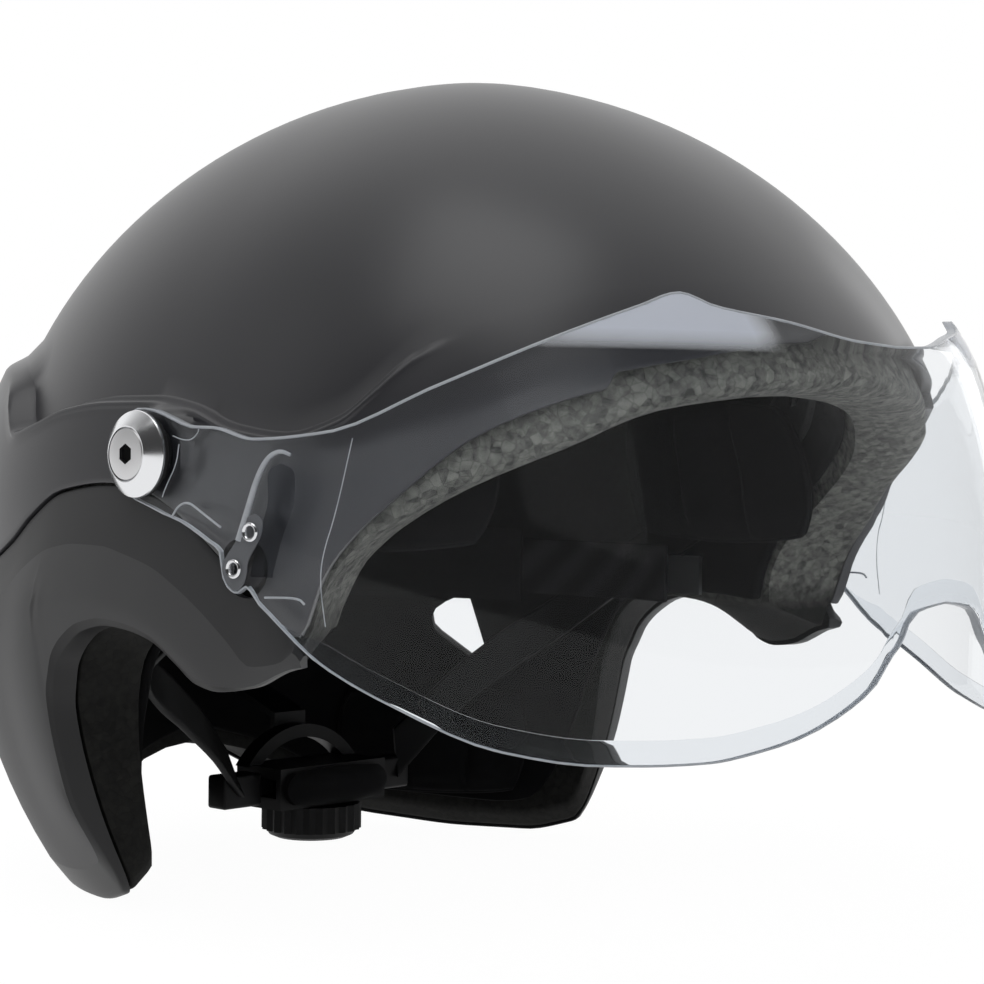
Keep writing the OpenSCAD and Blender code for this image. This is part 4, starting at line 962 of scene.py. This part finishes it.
def pad_outline(a, b):
    """Where a pad's rounded outline takes a and b, each -1 to 1 across and down it."""
    return a * math.sqrt(1 - PAD_ROUND * b * b / 2), b * math.sqrt(1 - PAD_ROUND * a * a / 2)


def pad_puff(a, b):
    return mix(PAD_RIM, 1, (1 - a**4) * (1 - b**4))


def bell(x, middle, wide):
    return math.exp(-(((abs(x) - middle) / wide) ** 2))


def pad_sheet(cols, rows, point):
    return [
        [point(2 * i / cols - 1, 2 * j / rows - 1) for j in range(rows + 1)]
        for i in range(cols + 1)
    ]


def pad_piece(name, mid, half, back, crown):
    """A crowned pad with drawn-in sides, puffed in the middle, with sewn channels across
    it and piping round it. A back below 0 means that it lies on the lining."""
    cols, rows = 40, 28

    def point(a, b, thick):
        x, y = pad_outline(a, b)
        x, y = x * (1 - PAD_WAIST * (1 - b * b)), y * (1 - PAD_WAIST * (1 - a * a))
        z = mid[1] - half[1] * y
        sewn = max(bell(a, 0.36, 0.05), bell(b, 0.86, 0.06) * 0.5)
        t = thick * pad_puff(a, b) * (1 - PAD_SEAM * sewn * (1 - a**6))
        depth = (lining_in(z) + 1 if back < 0 else back) + t
        return skin_z(mid[0] + half[0] * x, z, depth, 0)

    outer = pad_sheet(cols, rows, lambda a, b: point(a, b, 0))
    inner = pad_sheet(cols, rows, lambda a, b: point(a, b, crown))
    pad = start(name, [looped(o, i, 1.2) for o, i in zip(outer, inner)])
    close_up(pad, holes=True)
    spots = [(i, 0) for i in range(cols)] + [(cols, j) for j in range(rows)]
    spots += [(i, rows) for i in range(cols, 0, -1)] + [(0, j) for j in range(rows, 0, -1)]
    rim = [outer[i][j].lerp(inner[i][j], 0.5) for i, j in spots]
    return joined([pad, tube(name + "_piping", rim, 0.9, cyclic=True)])


def finish_pad(pad, node):
    finish(pad, "helmet", [PADDING], [node], 60)


brow_pad = pad_piece("brow_pad", (0, 32), (33, 12), BAND_IN + 0.6, 7)
side_right = pad_piece("side_pad_right", (67, -1.5), (27, 22), BAND_IN + 0.6, 8)
side_left = mirrored(side_right, "side_pad_left")
lobe_right = cut(pad_piece("lobe_pad_right", (137, -92.5), (18, 18), -1, 8), vents[0])
lobe_left = mirrored(lobe_right, "lobe_pad_left")
finish_pad(brow_pad, "pad_front")
finish_pad(side_right, "pad_side_right")
finish_pad(side_left, "pad_side_left")
finish_pad(lobe_right, "pad_lobe_right")
finish_pad(lobe_left, "pad_lobe_left")

CROWN_SPAN, CROWN_T = 0.34, 7


def crown_pad_columns():
    """A round top pad with eight sewn spokes."""
    back = lining_in(0) + 1
    columns = []
    for i in range(97):
        th = i * 360 / 96 - 180
        spoke = math.exp(-((((i % 12) - 6) / 0.9) ** 2))
        outer, inner = [], []
        for k in range(21):
            s = k / 20
            t = CROWN_T * mix(1, PAD_RIM, s**4)
            t *= 1 - PAD_SEAM * spoke * min(1, s * 4) * (1 - s**8)
            outer.append(skin(th, CROWN_SPAN * s, back, 0))
            inner.append(skin(th, CROWN_SPAN * s, back + t, 0))
        columns.append(domed(outer, inner, 1.0))
    return columns


crown_pad = close_up(start("crown_pad", crown_pad_columns()))
finish_pad(crown_pad, "pad_crown")

NAPE_HALF_W, NAPE_HALF_H, NAPE_Y, NAPE_T = 21, 5.75, 54.7, 5


def nape_pad():
    """The pad on the face of the hub that meets the head."""

    def sheet(thick):
        def point(a, b):
            x, z = pad_outline(a, b)
            y = NAPE_Y - thick * pad_puff(a, b)
            return Vector((-NAPE_HALF_W * x, y, HUB_Z - NAPE_HALF_H * z))

        return pad_sheet(32, 16, point)

    columns = [looped(o, i, 0.8) for o, i in zip(sheet(0), sheet(NAPE_T))]
    return close_up(start("nape_pad", columns), holes=True)


finish_pad(nape_pad(), "cradle_pad")

# Headband and its webbing

BAND_ANGLES = [
    0, 8, 16, 24, 32, 40, 48, 54, 58, 62, 68, 75, 82, 90, 98, 105, 112, 119, 126, 132, 138,
    144, 150,
]
BAND_LINE = [
    [0, 32], [27, 28], [47, 13], [64, -3], [80, -19], [93, -30], [106, -43], [120, -58],
    [135, -75], [144, -86], [150, -93],
]
BAND_DEPTH = [
    [0, 0], [111, 0], [118, 4.5], [125, 13], [132, 22], [141, 32], [150, 37.6],
]
# How far aside the band's end sleeves stand from the hub's middle, and their size
END_X, END_SIZE = 31.5, (15 * MM, 8 * MM, 10 * MM, 1)


def headband_piece():
    """The band, and the two sleeves at its ends that carry the racks into the hub."""
    columns = []
    for th in all_round(BAND_ANGLES, 3):
        z = along(BAND_LINE, abs(th)) + BAND_H / 2
        depth = lining_in(z) + BAND_SLACK + along(BAND_DEPTH, abs(th))
        heights = [z - BAND_H * k / 8 for k in range(9)]
        outer = [skin_z(th, h, depth, 0) for h in heights]
        inner = [skin_z(th, h, depth + BAND_T, 0) for h in heights]
        columns.append(looped(outer, inner, 0.7))
    pieces = [close_up(start("headband_strip", columns), holes=True)]
    for side in (1, -1):
        bpy.ops.mesh.primitive_cube_add(size=1)
        sleeve = bpy.context.object
        sleeve.data.transform(
            Matrix.Translation(Vector((side * -END_X, HUB_Y, HUB_Z)) * MM)
            @ Matrix.Diagonal(END_SIZE)
        )
        bevel = sleeve.modifiers.new("soft", "BEVEL")
        bevel.width, bevel.segments = 1.0 * MM, 3
        pieces.append(apply_all(sleeve))
    return joined(pieces)


finish(headband_piece(), "helmet", [NYLON], ["headband"], 40)

# The webbing's way round the head: angle, height and depth under the lining by station
STRAP_LINE = list(enumerate([
    79, 88, 100, 112, 124, 134, 144, 156, 170, 184, 198, 212, 226, 240, 252, 264, 273, 281,
]))
STRAP_HEIGHT = [[0, -34], [3, -33.5], [5, -33], [8, -32], [9, -32], [14, -33.5], [17, -34]]
STRAP_DEPTH = [
    [0, 6.7], [1, 6], [2.3, 5.2], [3, 4.8], [3.7, 2.3], [4, 1.9], [7, 1.9], [9, 2.2], [12, 3],
    [14, 4.8], [16, 6], [17, 6.7],
]
STRAP_W, STRAP_T = 18, 1.6


def strap_at(s):
    z = along(STRAP_HEIGHT, s)
    return skin_z(along(STRAP_LINE, s), z, lining_in(z) + along(STRAP_DEPTH, s), 0)


def ribbon(name, first, last, wide, thick, lift=0.0, crown=0.0):
    """Flat webbing or a sleeve on it, from one station of the strap's way to another."""
    n = round((last - first) * 8)
    points = [strap_at(mix(first, last, i / n)) for i in range(n + 1)]
    columns = []
    for i, p in enumerate(points):
        ahead = (points[min(i + 1, n)] - points[max(i - 1, 0)]).normalized()
        inward = Vector((-p.x, DOME_Y - p.y, 0)).normalized()
        up = inward.cross(ahead).normalized()
        up = up if up.z > 0 else -up
        inn = ahead.cross(up).normalized()
        inn = inn if inn.dot(inward) > 0 else -inn
        ends = min(1, 0.3 + 0.7 * min(i, n - i) / 4)
        outer, inner = [], []
        for k in range(13):
            q = 2 - 4 * k / 12
            rise = lift + thick / 2 + crown * ends * (1 - abs(q / 2) ** 3)
            outer.append(p + up * (q * wide / 4) + inn * (lift - thick / 2))
            inner.append(p + up * (q * wide / 4) + inn * rise)
        columns.append(looped(outer, inner, 0.5))
    return close_up(start(name, columns), holes=True)


for name, first, last, node in [
    ("strap_short", 0.35, 4.35, "strap_right"), ("strap_long", 6.05, 16.55, "strap_left"),
]:
    strap = ribbon(name, first, last, STRAP_W, STRAP_T)
    finish(strap, "helmet", [WEBBING], [node], 50)
finish_pad(ribbon("chin_sleeve", 9, 13, 24, 0.6, lift=1.4, crown=3.4), "chin_pad")

# The visor


def visor_column(th):
    heights = run(along(LENS_TOP, abs(th)), along(LENS_FOOT, abs(th)), 20)
    outer = [lens_point(th, z, LENS_WALL) for z in heights]
    inner = [lens_point(th, z) for z in heights]
    return looped(outer, inner, 0.45)


def screen_zone(row):
    """The trimmed edges are 1: the five rows round the top edge and round the foot."""
    return 1 if row < 2 or 22 <= row < 27 or row >= 47 else 0


columns = [visor_column(th) for th in all_round(LENS_ANGLES, 3)]
lens = close_up(start("visor_screen", columns, screen_zone), holes=True)
holes = []
for side in (1, -1):
    pivot = (side * LENS_HALF_W, PIVOT_Y, PIVOT_Z)
    holes.append(settle(peg(64, PIVOT_BORE_R, 20), pivot, (1, 0, 0)))
    for th, z in EYELETS:
        p, out = lens_point(th, z), lens_out(th, z)
        p.x, out.x = side * p.x, side * out.x
        holes.append(settle(peg(48, EYELET_BORE_R, 10), p, out))
cut(lens, *holes)
finish(lens, "visor", [CLEAR, EDGE_PAINTED_HIGHLIGHT], ["visor_lens"], 32)


def on_screen(spots):
    """Points on the outside of the screen, through spots of angle and height."""
    out = []
    for (t0, z0), (t1, z1) in zip(spots, spots[1:]):
        out += zip(run(t0, t1, 6)[:-1], run(z0, z1, 6)[:-1])
    return [lens_point(th, z, LENS_WALL) for th, z in out + [spots[-1]]]


def rounded(spots):
    """Cuts the corners of a line of spots twice, so that it bends smoothly."""
    for _ in range(2):
        cut_line = [spots[0]]
        for (t0, z0), (t1, z1) in zip(spots, spots[1:]):
            cut_line.append((mix(t0, t1, 0.25), mix(z0, z1, 0.25)))
            cut_line.append((mix(t0, t1, 0.75), mix(z0, z1, 0.75)))
        spots = cut_line + [spots[-1]]
    return spots


def screen_ribs():
    """Moulded ribs that stiffen the screen's side: a hook, brackets and the pivot's boss,
    each a line of spots with its radius and how far it thins out."""
    hook = [
        (74.6, -19.5), (73.4, -12), (72.4, -5.5), (71.5, -1.5), (70.5, 1), (69.2, 2), (68, 1),
    ]
    bracket = [(84.8, -14.2), (83.8, -11.5), (82.2, -10.5), (80.5, -12.5), (77.2, -16.5)]
    low_bracket = [(71, -32.8), (66.8, -32.5), (66, -34)]
    boss_top = [(84.8, 5.5), (83.2, 4.5), (81.8, 4.5), (80.8, 6.2), (80.7, 7.2)]
    boss_side = [(83.8, 3.5), (84.2, -1.5), (85.8, -6.5), (86.5, -9.5)]
    fold = [(60.8, 5), (62.5, -12.5), (64, -22.5), (64.2, -29.5), (63.5, -39)]
    ribs = []
    for line, inset, radius in [(LENS_TOP, -0.3, 0.38), (LENS_FOOT, 0.3, 0.3)]:
        edge = [(a, along(line, a) + inset) for a in finer(LENS_ANGLES, 2)[:-2]]
        ribs.append(tube("rib", [lens_point(*q, LENS_WALL - 0.2) for q in edge], radius))
    for spots, radius, taper in [
        (hook, 0.95, 0.45), (bracket, 0.3, 1), (low_bracket, 0.3, 1), (boss_top, 0.16, 1),
        (boss_side, 0.16, 1), (fold, 0.14, 1),
    ]:
        ribs.append(tube("rib", on_screen(rounded(spots)), radius, taper=taper))
    return twin(joined(ribs), "screen_ribs")


def screen_film(name, spots, low, high):
    """A thin raised field of the screen over rows of spots of angle and height."""
    outer = [[lens_point(*q, LENS_WALL + high) for q in row] for row in spots]
    inner = [[lens_point(*q, LENS_WALL + low) for q in row] for row in spots]
    columns = [looped(o, i, 0.1) for o, i in zip(outer, inner)]
    return close_up(start(name, columns), holes=True)


def screen_field(name, top, down, steps, middle, half_at, high):
    """A raised field from a top height down, about a middle line of [way down, angle]."""
    spots = []
    for d in run(0, down, steps):
        centre, half = along(middle, d), half_at(d)
        spots.append([(centre + half * (1 - q / 4), top - d) for q in range(9)])
    return screen_film(name, spots, 0.03, high)


def tab_field():
    """The moulded tab behind the hook: a long field with a round top."""

    def half_at(d):
        return 1.75 * math.sqrt(1 - clamp(1 - d / 3.6) ** 2) * mix(1, 0.8, d / 27) + 0.02

    middle = [[0, 69.1], [8, 69], [18, 70.4], [26, 71.4]]
    return screen_field("tab_field", -1, 27, 24, middle, half_at, 0.4)


def eyelet_strip():
    """The thicker grey strip that both eyelets are pressed into."""
    middle = [[0, 72.4], [4.5, 72.9], [13.4, 75.1], [18.4, 74.9]]
    width = [[0, 0.1], [1, 0.9], [3, 1.4], [9, 1.6], [13.4, 1.75], [16.5, 1.3], [18.4, 0.4]]
    return screen_field(
        "eyelet_strip", -13, 18.4, 30, middle, lambda d: along(width, d), 0.35
    )


HEM_END, HEM_H = 70, 5.5


def hem():
    """The bevelled band along the foot of the screen, between the two tabs."""
    spots = []
    for th in range(HEM_END, -HEM_END - 1, -1):
        foot = along(LENS_FOOT, abs(th)) + 0.5
        wide = HEM_H * ease((HEM_END + 0.5 - abs(th)) / 8) + 0.1
        spots.append([(th, foot + wide * q / 5) for q in range(5, -1, -1)])
    return screen_film("screen_hem", spots, 0.02, 0.25)


# The ribs are drawn in the pale edge colour as painted highlights
for piece, material in [
    (screen_ribs(), EDGE_PAINTED_HIGHLIGHT),
    # The tab's field takes the darker tint as painted shadow
    (twin(tab_field(), "screen_tabs"), TAB_PAINTED_SHADOW),
    (cut(twin(eyelet_strip(), "screen_strips"), *holes), STRIP),
    (hem(), HAZED),
]:
    finish(piece, "visor", [material], [], 50)

EYELET_PROFILE = [
    [1.3, -2.6], [2.0, -2.6], [2.0, 0], [2.4, 0], [2.45, 0.25], [2.3, 0.6], [1.95, 0.8],
    [1.6, 0.65], [1.35, 0.25],
]
rings = []
for th, z in EYELETS:
    ring, spot = turned("eyelet", EYELET_PROFILE, 48), lens_point(th, z, LENS_WALL + 0.4)
    rings.append(settle(ring, spot, lens_out(th, z)))
eyelets = twin(joined(rings), "screen_eyelets")
finish(eyelets, "visor", [EYELET_METAL], ["visor_eyelets"], 50)

# The pivots

# How thick a washer is and how high a cap, and how far out each one's foot stands
WASHER_T, CAP_H = 1.2, 4
WASHER_X = LENS_HALF_W + LENS_WALL + 0.3
CAP_X = WASHER_X + WASHER_T
CAP_PROFILE = [
    [3.2, 0], [10.6, 0], [10.85, 0.15], [10.9, 0.4], [10.9, 0.8], [10.75, 1.1], [7.25, 3.85],
    [7.0, 4.0], [6.75, 3.95], [6.7, 2.4], [3.2, 2.4],
]
SCREW_PROFILE = [
    [0, -16], [3, -16], [3, -1.6], [6.3, -1.6], [6.5, -1.4], [6.5, -0.25], [6.35, -0.05],
    [6.2, 0], [0, 0],
]


def washer(radius, soft):
    outline = [[3.2, 0], [radius - soft, 0], [radius, soft], [radius, WASHER_T - soft]]
    return turned("washer", outline + [[radius - soft, WASHER_T], [3.2, WASHER_T]])


def pivot_pieces(piece, x, name, material, stands_for, smooth):
    """Sets a piece at both pivots, its foot at x and its +Z outwards, and finishes it."""
    settle(piece, (-x, PIVOT_Y, PIVOT_Z), (-1, 0, 0))
    finish(twin(piece, name), "helmet", [material], stands_for, smooth)


cap = turned("pivot_cap", CAP_PROFILE, 128)
pivot_pieces(cap, CAP_X, "polished_caps", CAP_METAL, ["pivot_caps"], 25)
screw, socket = turned("screw", SCREW_PROFILE), peg(6, 2.6, 2.6)
cut(screw, socket)
bpy.data.objects.remove(socket)
head_x = CAP_X + CAP_H
SOCKET_DEEP = 1.1
pivot_pieces(screw, head_x, "cap_screws", SCREW_METAL, ["pivot_screws"], 25)
# The hexagon socket is deep and unlit, so its floor is a dark disc
disc = peg(6, 2.55, 0.3)
pivot_pieces(disc, head_x - SOCKET_DEEP, "socket_floors", SOCKET_BLACK, [], 25)
for ring, x, side in ((washer(10.7, 0.3), WASHER_X, "outer"), (washer(7.5, 0.2), BOSS_X, "inner")):
    name, node = side + "_washers", "pivot_washers_" + side
    pivot_pieces(ring, x, name, RUBBER, [node], 35)

for spent in latches + vents + holes:
    bpy.data.objects.remove(spent)

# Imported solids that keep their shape

KEPT = [
    (NYLON, "visor_bushings headband_pins cradle hanger_strap hanger_pin rack_right"),
    (NYLON, "rack_left buckle_body buckle_tongue"),
    (DIAL, "dial_knob buckle_lever"),
    (ANCHOR_METAL, "dial_screw strap_anchors buckle_pin"),
    (MAGNET, "latch_magnets"),
    (BRASS, "pivot_inserts"),
    (ACETAL, "dial_pinion"),
]
for material, nodes in KEPT:
    for node in nodes.split():
        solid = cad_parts[node]
        solid.data.materials.clear()
        solid.data.materials.append(material)

# Floor, lights and camera

# How much of the board's look is its own glow, and how bright: a touch over white
BOARD_SHARE, BOARD_GLOW, WHITE = 0.93, 1.046, (1, 1, 1, 1)


def pale_backdrop():
    """Matte white board: to the camera it is plain white, and it still takes the shadow."""
    m = blank("pale_backdrop")[0]
    path = add(m, "ShaderNodeLightPath").outputs
    seen = calc(m, "MAXIMUM", path["Is Camera Ray"], path["Is Glossy Ray"])
    seen = calc(m, "MAXIMUM", seen, path["Is Transmission Ray"])
    board = surface(m, "#F4F4F4", 1.0, Specular_IOR_Level=0.0)
    glow = add(m, "ShaderNodeEmission", {"Color": WHITE, "Strength": BOARD_GLOW}).outputs[0]
    return shown(m, mix_shaders(m, calc(m, "MULTIPLY", seen, BOARD_SHARE), board, glow))


low, high = cad_box
bpy.ops.mesh.primitive_plane_add(size=14, location=(0, 0, low[2] - 0.0005))
floor = bpy.context.object
floor.name = "floor"
floor.data.materials.append(pale_backdrop())

world = bpy.data.worlds.new("studio")
bpy.context.scene.world = world
world.use_nodes = True
world.node_tree.nodes.clear()
path = add(world, "ShaderNodeLightPath").outputs
toward = add(world, "ShaderNodeTexCoord").outputs["Generated"]
# The dark of a wall in reflections, and the strength of the room's own light
WALL_DARK, SOFT_LIGHT = 0.05, 0.4


def dark_wall(direction, start, full):
    """How bright the mirrored room is, darker where it is looked at in this direction."""
    links = {0: toward, 1: direction}
    facing = add(world, "ShaderNodeVectorMath", links, operation="DOT_PRODUCT").outputs["Value"]
    return remap(world, facing, 1.0, WALL_DARK, start, full)


# Reflections see the white room above and behind, and it darkens to the front and the side
seen = calc(world, "MAXIMUM", path["Is Camera Ray"], path["Is Transmission Ray"])
front_wall = dark_wall((-0.46, -0.86, -0.22), -0.25, 0.6)
side_wall = dark_wall((-0.95, -0.05, 0.3), 0.1, 0.9)
room = calc(world, "MINIMUM", front_wall, side_wall)
indirect = mix_values(world, path["Is Glossy Ray"], SOFT_LIGHT, room)
sky = {"Color": WHITE, "Strength": mix_values(world, seen, indirect, 1.0)}
sky = add(world, "ShaderNodeBackground", sky).outputs[0]
add(world, "ShaderNodeOutputWorld", {"Surface": sky})


def softbox(name, spot, target, wide, tall, watts, mirrored=True):
    """A soft studio lamp at spot, facing target. Lengths are metres."""
    lamp = bpy.data.lights.new(name, "AREA")
    lamp.shape, lamp.size, lamp.size_y, lamp.energy = "RECTANGLE", wide, tall, watts
    box = bpy.data.objects.new(name, lamp)
    bpy.context.collection.objects.link(box)
    box.location = spot
    box.rotation_euler = (Vector(target) - Vector(spot)).to_track_quat("-Z", "Y").to_euler()
    box.visible_glossy = mirrored
    return box


softbox("overhead", (-0.6, -0.15, 1.45), (0, 0, 0), 1.0, 1.0, 5)
softbox("front_fill", (-1.3, -1.3, 0.7), (0, 0, 0), 1.0, 1.0, 2.4, mirrored=False)
softbox("rear_rim", (-1.3, 0.8, 0.6), (0, 0, 0), 0.6, 1.4, 1)
softbox("far_rim", (1.4, 0.0, 0.35), (0, 0, 0), 0.3, 0.9, 0.9)

# The photograph's viewpoint: 47.4 degrees round to the right of the front, almost level
AZIMUTH, TILT, ROLL = math.radians(47.41), math.radians(0.44), math.radians(0.63)
DISTANCE, SHIFT_X, SHIFT_Y, FOCAL_PX = 653.15, -7.22, 8.24, 2240
PHOTO_PX, SENSOR = 984, 36
back = Vector(
    (-math.sin(AZIMUTH) * math.cos(TILT), -math.cos(AZIMUTH) * math.cos(TILT), math.sin(TILT))
)
level_right = Vector((math.cos(AZIMUTH), -math.sin(AZIMUTH), 0))
up = back.cross(level_right)
right = level_right * math.cos(ROLL) + up * math.sin(ROLL)
up = back.cross(right)
camera = bpy.data.objects.new("camera", bpy.data.cameras.new("camera"))
bpy.context.collection.objects.link(camera)
camera.data.sensor_width = SENSOR
camera.data.lens = SENSOR * FOCAL_PX / PHOTO_PX
spot = (back * DISTANCE - right * SHIFT_X - up * SHIFT_Y) * MM
turn = Matrix((right, up, back)).transposed().to_4x4()
camera.matrix_world = Matrix.Translation(spot) @ turn
bpy.context.scene.camera = camera
bpy.context.scene.view_settings.view_transform = "Standard"
